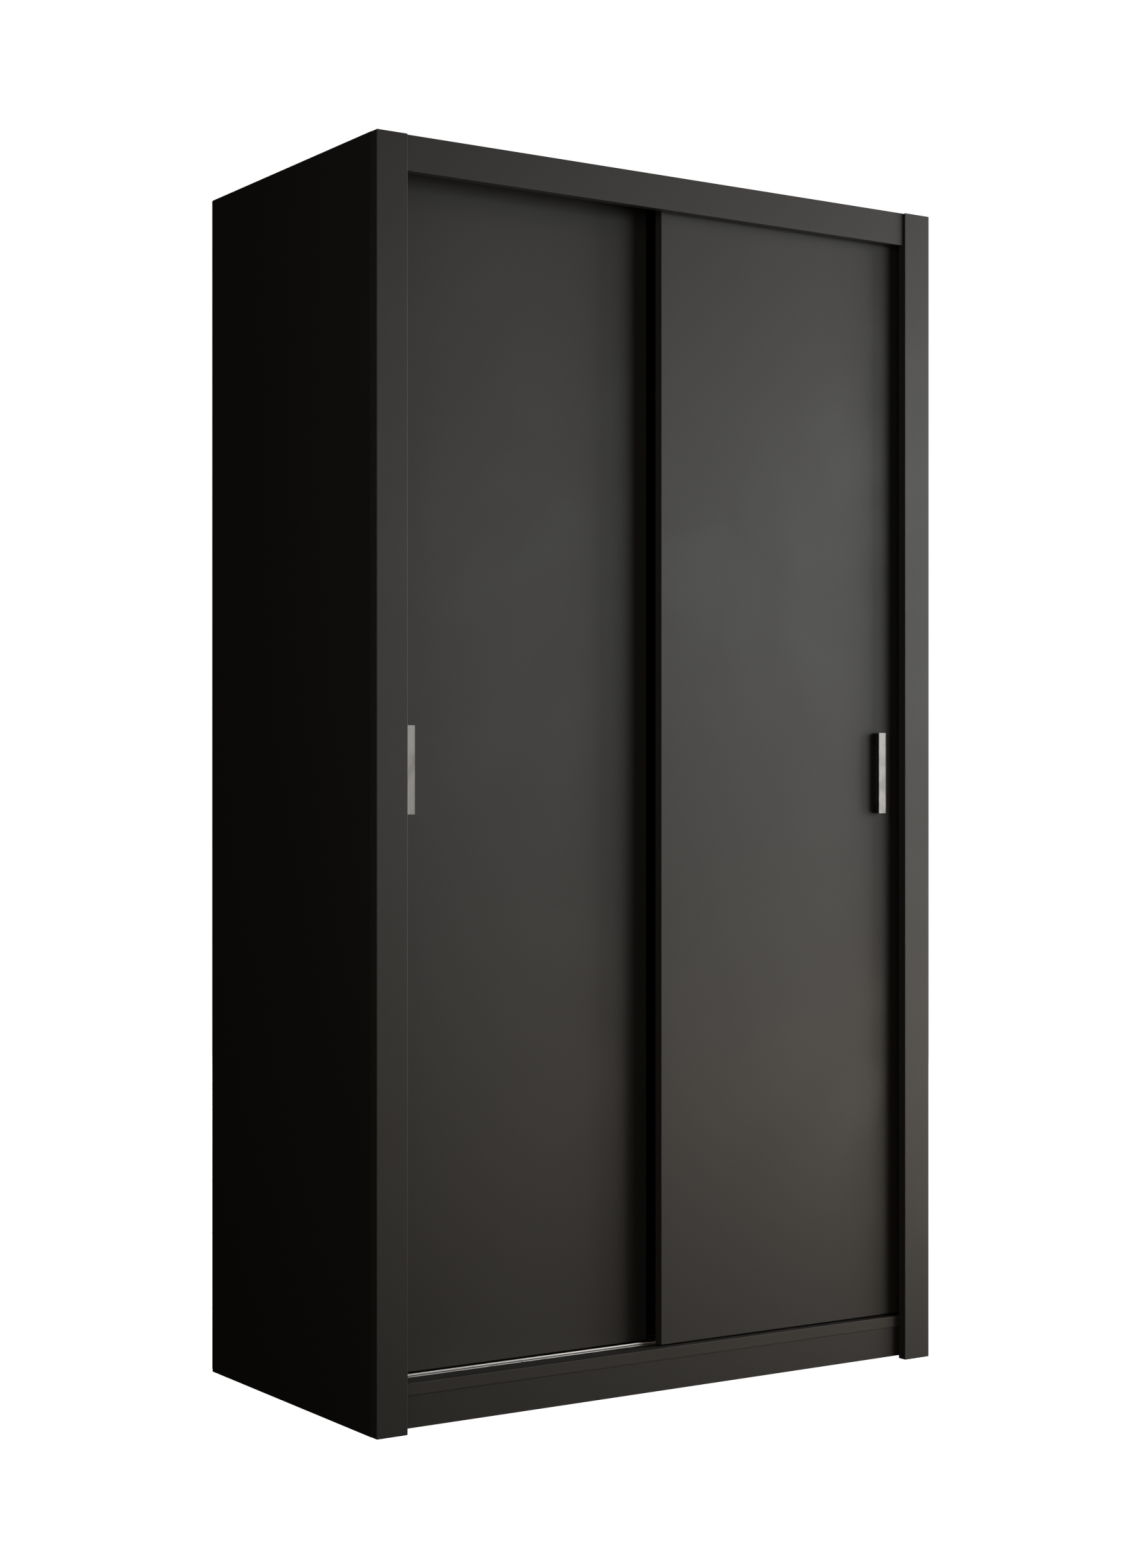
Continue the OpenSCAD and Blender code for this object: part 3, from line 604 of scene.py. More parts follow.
@dataclass(frozen=True)
class MetalFinish:
    """Metal with drawn lines, faint patches and a rubbed or dull surface, and painted shade low
    on its front when a foot is given.
    """

    colour: Colour
    shade: Colour
    roughness: float
    stretch: tuple[float, float, float]
    relief: float = 0.02 * MM
    patches: float = 0.1
    # Painted shade at the foot of the front: its colour, then the heights above the foot where it
    # is full and where it has faded out.
    painted_foot_shade: Colour = paint(0.012, 0.0117, 0.011)
    painted_shade_full: float = 1.4 * MM
    painted_shade_top: float = 3.2 * MM
    foot: Optional[float] = None

    def material(self, effects: Effects, name: str) -> bpy.types.Material:
        """Makes the metal's material.

        Args:
            effects: The shared effects.
            name: Name of the material.

        Returns:
            The material.
        """
        surface = Surface(name)
        lines = surface.place(effects.streaks, Stretch=self.stretch)
        marks = surface.place(effects.marks, Scale=40.0, Amount=self.patches)
        colour = surface.mix(surface.step(lines["Shade"], 0.3, 0.7), self.shade, self.colour)
        colour = surface.mix(marks["Mask"], colour, self.shade)
        rough = surface.total(self.roughness - 0.05, (lines["Height"], 0.1),
                              (marks["Mask"], 1.0))
        surface.set(Base_Color=colour, Roughness=rough, Metallic=1.0)
        surface.bump(lines["Height"], 0.3, self.relief)
        if self.foot is not None:
            self.paint_foot_shade(surface, colour, rough, self.foot)
        return surface.material

    def paint_foot_shade(self, surface: Surface, colour: Socket, rough: Socket,
                  foot: float) -> None:
        """Lets dark dirt gather at the foot of the metal's front.

        Args:
            surface: The material that is soiled.
            colour: Colour of the metal where no shade is painted.
            rough: Roughness of the metal where no shade is painted.
            foot: Height of the foot above the floor.
        """
        # Painted shade: the lower front is darkened, dulled and made non-metallic to stand in for
        # the shade below the rail's lit top edge.
        height = surface.split(surface.position)[Axis.Z.value]
        low = surface.step(height, foot + self.painted_shade_top, foot + self.painted_shade_full)
        front = surface.step(surface.split(surface.normal)[Axis.Y.value], -0.4, -0.7)
        painted_foot_shade = surface.maths("MULTIPLY", low, front)
        unshaded = surface.maths("SUBTRACT", 1.0, painted_foot_shade)
        dull = surface.maths("ADD", surface.maths("MULTIPLY", rough, unshaded),
                             surface.maths("MULTIPLY", painted_foot_shade, 0.7))
        surface.set(Base_Color=surface.mix(painted_foot_shade, colour, self.painted_foot_shade), Metallic=unshaded,
                    Roughness=dull)


@dataclass(frozen=True)
class MouldedFinish:
    """Moulded plastic or rubber with a fine spark-eroded texture."""

    colour: Colour
    pale: Colour
    roughness: float
    texture_scale: float = 2200.0
    relief: float = 0.04 * MM
    dust: Colour = paint(0.3, 0.29, 0.27)

    def material(self, effects: Effects, name: str) -> bpy.types.Material:
        """Makes the moulded material.

        Args:
            effects: The shared effects.
            name: Name of the material.

        Returns:
            The material.
        """
        surface = Surface(name)
        pearl = surface.place(effects.pearl, Scale=self.texture_scale)
        marks = surface.place(effects.marks, Scale=25.0, Amount=0.12)
        dust = surface.place(effects.dust, Normal=surface.normal, Amount=0.25)
        colour = surface.mix(pearl["Mottle"], self.colour, self.pale)
        colour = surface.mix(dust["Mask"], colour, self.dust)
        rough = surface.total(self.roughness, (marks["Mask"], 1.0), (pearl["Height"], 0.06))
        surface.set(Base_Color=colour, Roughness=rough, IOR=1.48)
        surface.bump(pearl["Height"], 0.4, self.relief)
        return surface.material


@dataclass(frozen=True)
class BeechFinish:
    """Turned beech with flecks along its length."""

    light: Colour = paint(0.56, 0.36, 0.2)
    dark: Colour = paint(0.36, 0.2, 0.1)
    stretch: tuple[float, float, float] = (180.0, 900.0, 900.0)
    relief: float = 0.1 * MM

    def material(self, effects: Effects, name: str) -> bpy.types.Material:
        """Makes the wood's material.

        Args:
            effects: The shared effects.
            name: Name of the material.

        Returns:
            The material.
        """
        surface = Surface(name)
        grain = surface.place(effects.streaks, Stretch=self.stretch)
        fleck = surface.step(grain["Shade"], 0.35, 0.65)
        surface.set(Base_Color=surface.mix(fleck, self.dark, self.light),
                    Roughness=surface.total(0.5, (grain["Height"], 0.2)))
        surface.bump(grain["Height"], 0.4, self.relief)
        return surface.material


ALONG_X = (8.0, 2600.0, 2600.0)
ALONG_Z = (2600.0, 2600.0, 14.0)
ALL_WAYS = (450.0, 450.0, 450.0)


class Workshop:
    """All finishes of the wardrobe, with ways to dress its pieces."""

    def __init__(self) -> None:
        """Makes the shared effects and the materials that several pieces use."""
        self.effects = Effects()
        self.crisp = self.crisp_edges()
        shared = {
            "back_board": HardboardFinish(),
            "brushed_aluminium": MetalFinish(
                paint(0.55, 0.545, 0.535), paint(0.45, 0.445, 0.435), 0.62, ALONG_Z),
            "rail_aluminium": MetalFinish(
                paint(0.86, 0.86, 0.855), paint(0.72, 0.72, 0.715), 0.3, ALONG_X,
                # The rail's lower front gets painted shade above this foot.
                foot=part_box("lower_rail_front")[0].z),
            "zinc_steel": MetalFinish(
                paint(0.6, 0.6, 0.6), paint(0.42, 0.41, 0.38), 0.36, ALL_WAYS, patches=0.2),
            "chrome_tube": MetalFinish(
                paint(0.82, 0.82, 0.83), paint(0.72, 0.72, 0.74), 0.12, ALONG_X,
                relief=0.004 * MM, patches=0.06),
            "black_plastic": MouldedFinish(
                paint(0.016, 0.016, 0.016), paint(0.024, 0.024, 0.023), 0.42),
            "stop_rubber": MouldedFinish(
                paint(0.018, 0.018, 0.018), paint(0.028, 0.027, 0.026), 0.72),
            "white_nylon": MouldedFinish(
                paint(0.66, 0.65, 0.6), paint(0.74, 0.73, 0.69), 0.36, 1500.0, 0.02 * MM),
            "beech": BeechFinish(),
        }
        self.materials = {slot: finish.material(self.effects, slot)
                          for slot, finish in shared.items()}
        self.slots = {row["node"]: row["material_slot"]
                      for row in frame["record"]["subparts"]}

    @staticmethod
    def crisp_edges() -> bpy.types.NodeTree:
        """Makes the modifier that welds a CAD mesh and keeps only its real edges sharp.

        Returns:
            The geometry node tree.
        """
        tree = bpy.data.node_groups.new("crisp_edges", "GeometryNodeTree")
        tree.is_modifier = True
        for way in ("INPUT", "OUTPUT"):
            tree.interface.new_socket(name="Geometry", in_out=way,
                                      socket_type="NodeSocketGeometry")
        graph = Graph(tree)
        weld = graph.add("GeometryNodeMergeByDistance")
        graph.feed(weld.inputs["Geometry"], graph.add("NodeGroupInput").outputs[0])
        graph.feed(weld.inputs["Distance"], WELD_DISTANCE)
        smooth = graph.add("GeometryNodeSetShadeSmooth", domain="FACE")
        graph.feed(smooth.inputs["Geometry"], weld.outputs[0])
        sharp = graph.add("GeometryNodeSetShadeSmooth", domain="EDGE")
        graph.feed(sharp.inputs["Geometry"], smooth.outputs[0])
        angle = graph.add("GeometryNodeInputMeshEdgeAngle").outputs["Unsigned Angle"]
        graph.feed(sharp.inputs["Selection"], graph.maths("GREATER_THAN", angle, SHARP_ANGLE))
        graph.feed(sharp.inputs["Shade Smooth"], False)
        graph.feed(graph.add("NodeGroupOutput").inputs[0], sharp.outputs[0])
        return tree

    def weld(self, piece: bpy.types.Object) -> None:
        """Welds a CAD piece and sharpens its edges.

        Args:
            piece: The CAD node's object.
        """
        mesh = piece.data
        custom = mesh.attributes.get("custom_normal")
        if custom is not None:
            mesh.attributes.remove(custom)
        crisp = piece.modifiers.new("crisp", "NODES")
        crisp.node_group = self.crisp

    @staticmethod
    def cover(piece: bpy.types.Object, material: bpy.types.Material) -> None:
        """Gives a piece one material."""
        piece.data.materials.clear()
        piece.data.materials.append(material)

    def dress_board(self, node: str, radius: float = 0.5 * MM,
                    finish: BoardFinish = BoardFinish()) -> None:
        """Finishes a board and rounds its outer edges.

        Args:
            node: Name of the CAD node.
            radius: Radius of the edging.
            finish: Its melamine and edging.
        """
        piece = frame["nodes"][node]
        low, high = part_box(node)
        size = high - low
        thin = Axis(min(range(3), key=lambda n: size[n]))
        self.cover(piece, finish.material(self.effects, node, low, high, thin))
        self.weld(piece)
        self.mark_outline(piece.data, low, high)
        bevel = piece.modifiers.new("rounded", "BEVEL")
        bevel.limit_method = "WEIGHT"
        bevel.width = radius
        bevel.segments = 3
        bevel.use_clamp_overlap = False
        bevel.harden_normals = True
        LOG.info("board %s", node)

    @staticmethod
    def mark_outline(mesh: bpy.types.Mesh, low: Vector, high: Vector) -> None:
        """Marks the edges along a board's outline for rounding.

        Args:
            mesh: The board's mesh.
            low: Its lowest corner.
            high: Its highest corner.
        """
        planes = []
        for vertex in mesh.vertices:
            here = set()
            for n in range(3):
                if abs(vertex.co[n] - low[n]) < ON_PLANE:
                    here.add((n, 0))
                if abs(vertex.co[n] - high[n]) < ON_PLANE:
                    here.add((n, 1))
            planes.append(here)
        weights = mesh.attributes.new("bevel_weight_edge", "FLOAT", "EDGE")
        for edge in mesh.edges:
            first, second = edge.vertices
            if len(planes[first] & planes[second]) > 1:
                weights.data[edge.index].value = 1.0

    def dress(self, node: str, radius: float = 0.3 * MM) -> None:
        """Finishes a fitting and breaks its edges.

        Args:
            node: Name of the CAD node.
            radius: How far its edges are broken; 0 leaves them as they are.
        """
        piece = frame["nodes"][node]
        self.cover(piece, self.materials[self.slots[node]])
        self.weld(piece)
        if radius > 0:
            bevel = piece.modifiers.new("rounded", "BEVEL")
            bevel.limit_method = "ANGLE"
            bevel.angle_limit = BREAK_ANGLE
            bevel.width = radius
            bevel.segments = 2
            bevel.harden_normals = True
        LOG.info("fitting %s", node)

    def add(self, name: str, mesh: bmesh.types.BMesh, body: str, slot: str,
            replaced: Sequence[str] = ()) -> bpy.types.Object:
        """Turns a built mesh into a piece of the wardrobe.

        Args:
            name: Name of the piece.
            mesh: Its mesh, which is used up.
            body: The CAD body that it rides on.
            slot: The material slot of its finish.
            replaced: CAD nodes that it stands for.

        Returns:
            The piece.
        """
        data = bpy.data.meshes.new(name)
        bmesh.ops.recalc_face_normals(mesh, faces=mesh.faces[:])
        mesh.to_mesh(data)
        mesh.free()
        data.shade_smooth()
        data.set_sharp_from_angle(angle=SHARP_ANGLE)
        piece = bpy.data.objects.new(name, data)
        bpy.context.scene.collection.objects.link(piece)
        self.cover(piece, self.materials[slot])
        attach(piece, body)
        if replaced:
            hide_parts(*replaced)
        LOG.info("piece %s on %s", name, body)
        return piece


# ---- Mesh builders ----


def lathe(mesh: bmesh.types.BMesh, outline: Sequence[tuple[float, float]], place: Matrix,
          steps: int = 32) -> list[list[bmesh.types.BMVert]]:
    """Turns an outline about the local Z axis.

    Args:
        mesh: The mesh that it is added to.
        outline: (radius, height) points; a radius of 0 closes an end with one point.
        place: Where the local frame stands.
        steps: Sides of the turned shape.

    Returns:
        The rings of vertices, one for each point.
    """
    rings: list[list[bmesh.types.BMVert]] = []
    for radius, height in outline:
        count = steps if radius > 0 else 1
        rings.append([mesh.verts.new(place @ Vector((
            radius * math.cos(math.tau * n / steps), radius * math.sin(math.tau * n / steps),
            height))) for n in range(count)])
    for lower, upper in zip(rings, rings[1:]):
        for n in range(steps):
            corners = [lower[n % len(lower)], lower[(n + 1) % len(lower)],
                       upper[(n + 1) % len(upper)], upper[n % len(upper)]]
            unique = list(dict.fromkeys(corners))
            if len(unique) > 2:
                mesh.faces.new(unique)
    return rings


def solids_of(node: str) -> list[list[Vector]]:
    """Splits a CAD node into its separate solids.

    Args:
        node: Name of the node.

    Returns:
        The corner points of each solid.
    """
    mesh = bmesh.new()
    mesh.from_mesh(frame["nodes"][node].data)
    bmesh.ops.remove_doubles(mesh, verts=mesh.verts[:], dist=WELD_DISTANCE)
    waiting = set(mesh.verts)
    solids = []
    for start in mesh.verts:
        if start not in waiting:
            continue
        waiting.discard(start)
        group, queue = [], [start]
        while queue:
            vertex = queue.pop()
            group.append(vertex.co.copy())
            for edge in vertex.link_edges:
                other = edge.other_vert(vertex)
                if other in waiting:
                    waiting.discard(other)
                    queue.append(other)
        solids.append(group)
    mesh.free()
    return solids


# Points this far out, as a share of the widest radius, tell at which end the head is.
RIM_SHARE = 0.9
# Points farther out than this many shank radii belong to the head.
HEAD_SHARE = 1.15


@dataclass
class Fastener:
    """A screw or nail, measured on the solid that stands for it.

    The thread's root is a share of the shank's radius. The head's flat top and the recess's
    arm and slot are shares of the head's radius, and its draft narrows it towards the bottom.
    """

    head: Vector
    inward: Vector
    length: float
    head_radius: float
    head_height: float
    shank_radius: float
    drive: Drive
    pitch: float = 1.1 * MM
    root: float = 0.72
    flat_top: float = 0.82
    arm: float = 0.5
    slot: float = 0.13
    draft: float = 0.6
    deepest: float = 1.5 * MM
    steps: int = 24

    @classmethod
    def measured(cls, points: list[Vector], drive: Drive) -> "Fastener":
        """Reads a fastener's place and sizes from its solid.

        Args:
            points: The solid's corner points.
            drive: What its head has.

        Returns:
            The fastener.
        """
        low = Vector([min(p[n] for p in points) for n in range(3)])
        high = Vector([max(p[n] for p in points) for n in range(3)])
        size = high - low
        n = max(range(3), key=lambda axis: size[axis])
        centre = (low + high) / 2
        axis = Axis(n).vector
        spread = [((p - centre) - axis * (p - centre).dot(axis)).length for p in points]
        widest = max(spread)
        wide = [p[n] for p, r in zip(points, spread) if r > RIM_SHARE * widest]
        up = 1.0 if sum(wide) / len(wide) > centre[n] else -1.0
        tip = low[n] if up > 0 else high[n]
        near_tip = 0.1 * MM
        shank = max(r for p, r in zip(points, spread) if abs(p[n] - tip) < near_tip)
        thick = [p[n] for p, r in zip(points, spread) if r > HEAD_SHARE * shank]
        head = centre.copy()
        head[n] = high[n] if up > 0 else low[n]
        return cls(head, -axis * up, size[n], widest, max(thick) - min(thick), shank, drive)

    def build(self, mesh: bmesh.types.BMesh) -> None:
        """Adds the head, its recess and the threaded shank.

        Args:
            mesh: The mesh that they are added to.
        """
        turn = self.inward.to_track_quat("Z", "Y").to_matrix().to_4x4()
        place = Matrix.Translation(self.head) @ turn
        rim = self.flat_top * self.head_radius
        outline = [(rim, 0.0), (0.95 * self.head_radius, 0.22 * self.head_height),
                   (self.head_radius, 0.55 * self.head_height),
                   (self.head_radius, self.head_height),
                   (self.shank_radius, self.head_height)]
        outline += self.thread()
        rings = lathe(mesh, outline, place, self.steps)
        if self.drive is Drive.CROSS:
            self.recess(mesh, rings[0], place)
        else:
            mesh.faces.new(rings[0])

    def thread(self) -> list[tuple[float, float]]:
        """Outline of the shank.

        Returns:
            (radius, depth) points from under the head to the tip.
        """
        start = self.head_height + 2 * self.pitch
        taper = self.length - 2.2 * self.shank_radius
        count = int((taper - start) / self.pitch)
        root = self.root * self.shank_radius
        points = [(self.shank_radius, start)]
        for n in range(count):
            depth = start + n * self.pitch
            points.append((root, depth + 0.3 * self.pitch))
            points.append((root, depth + 0.7 * self.pitch))
            points.append((self.shank_radius, depth + self.pitch))
        points.append((0.5 * self.shank_radius, self.length - self.shank_radius))
        points.append((0.0, self.length))
        return points

    def recess(self, mesh: bmesh.types.BMesh, rim: list[bmesh.types.BMVert],
               place: Matrix) -> None:
        """Closes the top of the head around a cross-shaped recess.

        Args:
            mesh: The fastener's mesh.
            rim: The ring of vertices round the top.
            place: Where the head stands.
        """
        arm = self.arm * self.head_radius
        half = self.slot * self.head_radius
        corners = [(half, half), (half, arm), (-half, arm), (-half, half), (-arm, half),
                   (-arm, -half), (-half, -half), (-half, -arm), (half, -arm), (half, -half),
                   (arm, -half), (arm, half)]
        depth = min(0.9 * self.head_height, self.deepest)
        top = [mesh.verts.new(place @ Vector((x, y, 0.0))) for x, y in corners]
        floor = [mesh.verts.new(place @ Vector((self.draft * x, self.draft * y, depth)))
                 for x, y in corners]
        for n in range(len(corners)):
            after = (n + 1) % len(corners)
            mesh.faces.new((top[n], top[after], floor[after], floor[n]))
        mesh.faces.new(floor)
        loops = [mesh.edges.get((ring[n], ring[(n + 1) % len(ring)]))
                 for ring in (rim, top) for n in range(len(ring))]
        bmesh.ops.triangle_fill(mesh, use_beauty=True, edges=loops,
                                normal=place.to_3x3() @ Vector((0.0, 0.0, -1.0)))


# ---- Sub-assemblies ----


@dataclass
class Carcass:
    """Boards that make the case, its front frame and its base."""

    shop: Workshop
    boards: tuple[str, ...] = (
        "side_panel_left", "side_panel_right", "front_post_left", "front_post_right",
        "top_fascia", "top_panel", "front_plinth", "rear_plinth", "centre_support")
    # The bottom panel's finish is a shaded copy of the boards' finish. Its face is painted
    # darker, as painted shade on the sill in front of the rails. Its edging is painted paler, as
    # a painted highlight on the sill's front edge. It is also rougher.
    sill_shade_and_highlight: BoardFinish = BoardFinish(
        face=paint(0.017, 0.0166, 0.0158), face_pale=paint(0.021, 0.0205, 0.0196),
        edging=paint(0.05, 0.0485, 0.0455), roughness=0.78)
    radius: float = 0.7 * MM
    post_radius: float = 1.6 * MM
    glide_edge: float = 0.6 * MM

    def build(self) -> None:
        """Dresses the boards and the glides under them."""
        for node in self.boards:
            self.shop.dress_board(node, self.post_radius if "post" in node else self.radius)
        # The bottom panel gets the finish with the painted shade and the painted highlight.
        self.shop.dress_board("bottom_panel", self.radius, self.sill_shade_and_highlight)
        self.shop.dress("floor_glides", self.glide_edge)


@dataclass
class Interior:
    """Divider, shelves and the hanging rail."""

    shop: Workshop
    boards: tuple[str, ...] = (
        "centre_divider", "hat_shelf_left", "hat_shelf_right", "shelf_1", "shelf_2",
        "shelf_3", "shelf_4")
    pin_edge: float = 0.3 * MM
    socket_edge: float = 0.4 * MM

    def build(self) -> None:
        """Dresses the boards, the shelf pins, the rail and its sockets."""
        for node in self.boards:
            self.shop.dress_board(node)
        self.shop.dress("shelf_pins", self.pin_edge)
        self.shop.dress("hanging_rail", 0.0)
        self.shop.dress("rail_sockets", self.socket_edge)


@dataclass
class Back:
    """Two hardboard halves and the strip that joins them, all with plain cut edges."""

    shop: Workshop
    nodes: tuple[str, ...] = ("back_panel_left", "back_panel_right", "back_joint_strip")

    def build(self) -> None:
        """Dresses the panels and the strip."""
        for node in self.nodes:
            self.shop.dress(node, 0.0)


@dataclass
class Joinery:
    """Cam locks, studs, dowels and wall brackets."""

    shop: Workshop
    dowel_edge: float = 0.6 * MM
    bracket_edge: float = 0.3 * MM

    def build(self) -> None:
        """Dresses the fittings that hold the boards together."""
        self.shop.dress("cam_locks", 0.0)
        self.shop.dress("cam_studs", 0.0)
        self.shop.dress("dowels", self.dowel_edge)
        self.shop.dress("wall_brackets", self.bracket_edge)


@dataclass
class Rails:
    """Bottom rails, top tracks and the door stops."""

    shop: Workshop
    profiles: tuple[str, ...] = (
        "upper_track_front", "upper_track_rear", "lower_rail_front", "lower_rail_rear")
    profile_edge: float = 0.15 * MM
    stop_edge: float = 0.5 * MM

    def build(self) -> None:
        """Dresses the profiles and the stops."""
        for node in self.profiles:
            self.shop.dress(node, self.profile_edge)
        self.shop.dress("door_bumpers", self.stop_edge)


@dataclass
class Fasteners:
    """Every screw and nail, built from where its solid is."""

    shop: Workshop
    carcass: tuple[tuple[str, Drive], ...] = (
        ("track_screws", Drive.CROSS), ("bracket_screws", Drive.CROSS),
        ("rail_socket_screws", Drive.CROSS), ("back_nails", Drive.PLAIN))
    doors: tuple[str, ...] = ("handle_screws", "roller_screws", "guide_screws")

    def build(self) -> None:
        """Builds the carcass's fasteners and then each door's."""
        for node, drive in self.carcass:
            self.drive_in(node, "carcass", drive)
        for side in Side:
            for kind in self.doors:
                self.drive_in(f"{kind}_{side.value}", f"door_{side.value}", Drive.CROSS)

    def drive_in(self, node: str, body: str, drive: Drive) -> None:
        """Replaces one CAD node of fasteners.

        Args:
            node: The CAD node.
            body: The body that they ride on.
            drive: What their heads have.
        """
        mesh = bmesh.new()
        for points in solids_of(node):
            Fastener.measured(points, drive).build(mesh)
        self.shop.add(f"{node}_cut", mesh, body, "zinc_steel", (node,))


@dataclass
class GroovedWheel:
    """Nylon wheel with a pressed-in ball bearing.

    The groove's flat bottom and its flare are shares of half the wheel's width.
    """

    shop: Workshop
    side: Side
    place: str
    bore_radius: float = 2.56 * MM
    shield_radius: float = 4.3 * MM
    race_radius: float = 5.2 * MM
    race_wall: float = 0.7 * MM
    race_inset: float = 0.6 * MM
    shield_dip: float = 0.35 * MM
    hub_wall: float = 1.1 * MM
    hub_inset: float = 0.4 * MM
    web_depth: float = 1.2 * MM
    flange: float = 2.8 * MM
    slope: float = 0.3 * MM
    draft: float = 0.4 * MM
    lip: float = 0.1 * MM
    chamfer: float = 0.35 * MM
    groove: float = 0.36
    flare: float = 0.3
    steps: int = 96

    def build(self) -> None:
        """Builds the tyre in place of the CAD wheel, and its bearing."""
        name = f"wheel_{self.side.value}_{self.place}"
        low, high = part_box(name)
        centre = (low + high) / 2
        half = (high.y - low.y) / 2
        rim = (high.x - low.x) / 2
        coupling = next(c for c in frame["record"]["behaviour"]["couplings"]
                        if c["joint"] == f"{name}_spin")
        tread = 1.0 / abs(coupling["ratio"])
        place = Matrix.Translation(centre) @ Matrix.Rotation(math.pi / 2, 4, "X")
        self.shop.add(f"tyre_{self.side.value}_{self.place}",
                      self.tyre(place, half, rim, tread), name, "white_nylon", (name,))
        self.shop.add(f"bearing_{self.side.value}_{self.place}",
                      self.bearing(place, half), name, "zinc_steel")

    def tyre(self, place: Matrix, half: float, rim: float,
             tread: float) -> bmesh.types.BMesh:
        """Builds the nylon ring with its groove and hollowed webs.

        Args:
            place: Centre and direction of the axle.
            half: Half the wheel's width.
            rim: Radius over the flanges.
            tread: Radius at the bottom of the groove.

        Returns:
            The mesh.
        """
        flat = self.groove * half
        mouth = flat + self.flare * half
        inside = rim - self.flange
        hub = self.race_radius + self.hub_wall
        top = half - self.hub_inset
        web = half - self.web_depth
        cut = self.chamfer
        side = [(self.race_radius, top), (hub, top), (hub + self.slope, web),
                (inside - self.draft, web), (inside, half - cut), (inside + cut, half),
                (rim - cut, half), (rim, half - cut), (rim, mouth),
                (tread + self.slope, flat + self.lip), (tread, flat - 2 * self.lip)]
        outline = side + [(radius, -height) for radius, height in reversed(side)]
        mesh = bmesh.new()
        rings = lathe(mesh, outline, place, self.steps)
        self.close(mesh, rings)
        return mesh

    def bearing(self, place: Matrix, half: float) -> bmesh.types.BMesh:
        """Builds the races and shields of the bearing.

        Args:
            place: Centre and direction of the axle.
            half: Half the wheel's width.

        Returns:
            The mesh.
        """
        bore = self.bore_radius
        inner = bore + self.race_wall
        face = half - self.race_inset
        edge = face - self.lip
        dip = face - self.shield_dip
        side = [(bore, edge), (bore + self.lip, face), (inner, face), (inner, dip),
                (self.shield_radius, dip), (self.shield_radius, face),
                (self.race_radius - self.lip, face), (self.race_radius, edge)]
        outline = side + [(radius, -height) for radius, height in reversed(side)]
        mesh = bmesh.new()
        rings = lathe(mesh, outline, place, self.steps // 2)
        self.close(mesh, rings)
        return mesh

    @staticmethod
    def close(mesh: bmesh.types.BMesh, rings: list[list[bmesh.types.BMVert]]) -> None:
        """Joins the last ring to the first, so that the turned ring is closed.

        Args:
            mesh: The mesh that the rings are in.
            rings: The turned outline's rings of vertices.
        """
        first, last = rings[0], rings[-1]
        for n in range(len(first)):
            after = (n + 1) % len(first)
            mesh.faces.new((last[n], last[after], first[after], first[n]))


@dataclass
class SlidingDoor:
    """One door with its handle, wheels, housings and top guides."""

    shop: Workshop
    side: Side
    edging_radius: float = 1.0 * MM
    handle_edge: float = 1.4 * MM
    housing_edge: float = 0.7 * MM
    axle_edge: float = 0.4 * MM
    guide_edge: float = 0.5 * MM

    def build(self) -> None:
        """Dresses the door and builds what moves with it."""
        name = self.side.value
        self.shop.dress_board(f"door_panel_{name}", self.edging_radius)
        self.shop.dress(f"handle_{name}", self.handle_edge)
        self.shop.dress(f"roller_housings_{name}", self.housing_edge)
        self.shop.dress(f"roller_axles_{name}", self.axle_edge)
        self.shop.dress(f"top_guides_{name}", self.guide_edge)
        for place in ("outer", "inner"):
            GroovedWheel(self.shop, self.side, place).build()


# ---- Studio ----


@dataclass(frozen=True)
class Softbox:
    """A rectangular lamp that looks at a point."""

    name: str
    stands: tuple[float, float, float]
    looks_at: tuple[float, float, float]
    width: float
    height: float
    power: float
    colour: tuple[float, float, float] = (1.0, 1.0, 1.0)
    mirrored: bool = True

    def build(self) -> None:
        """Adds the lamp, unseen by the camera."""
        lamp = bpy.data.lights.new(self.name, "AREA")
        lamp.shape = "RECTANGLE"
        lamp.size = self.width
        lamp.size_y = self.height
        lamp.energy = self.power
        lamp.color = self.colour
        box = bpy.data.objects.new(self.name, lamp)
        box.location = self.stands
        aim = Vector(self.looks_at) - Vector(self.stands)
        box.rotation_euler = aim.to_track_quat("-Z", "Y").to_euler()
        box.visible_camera = False
        box.visible_glossy = self.mirrored
        bpy.context.scene.collection.objects.link(box)


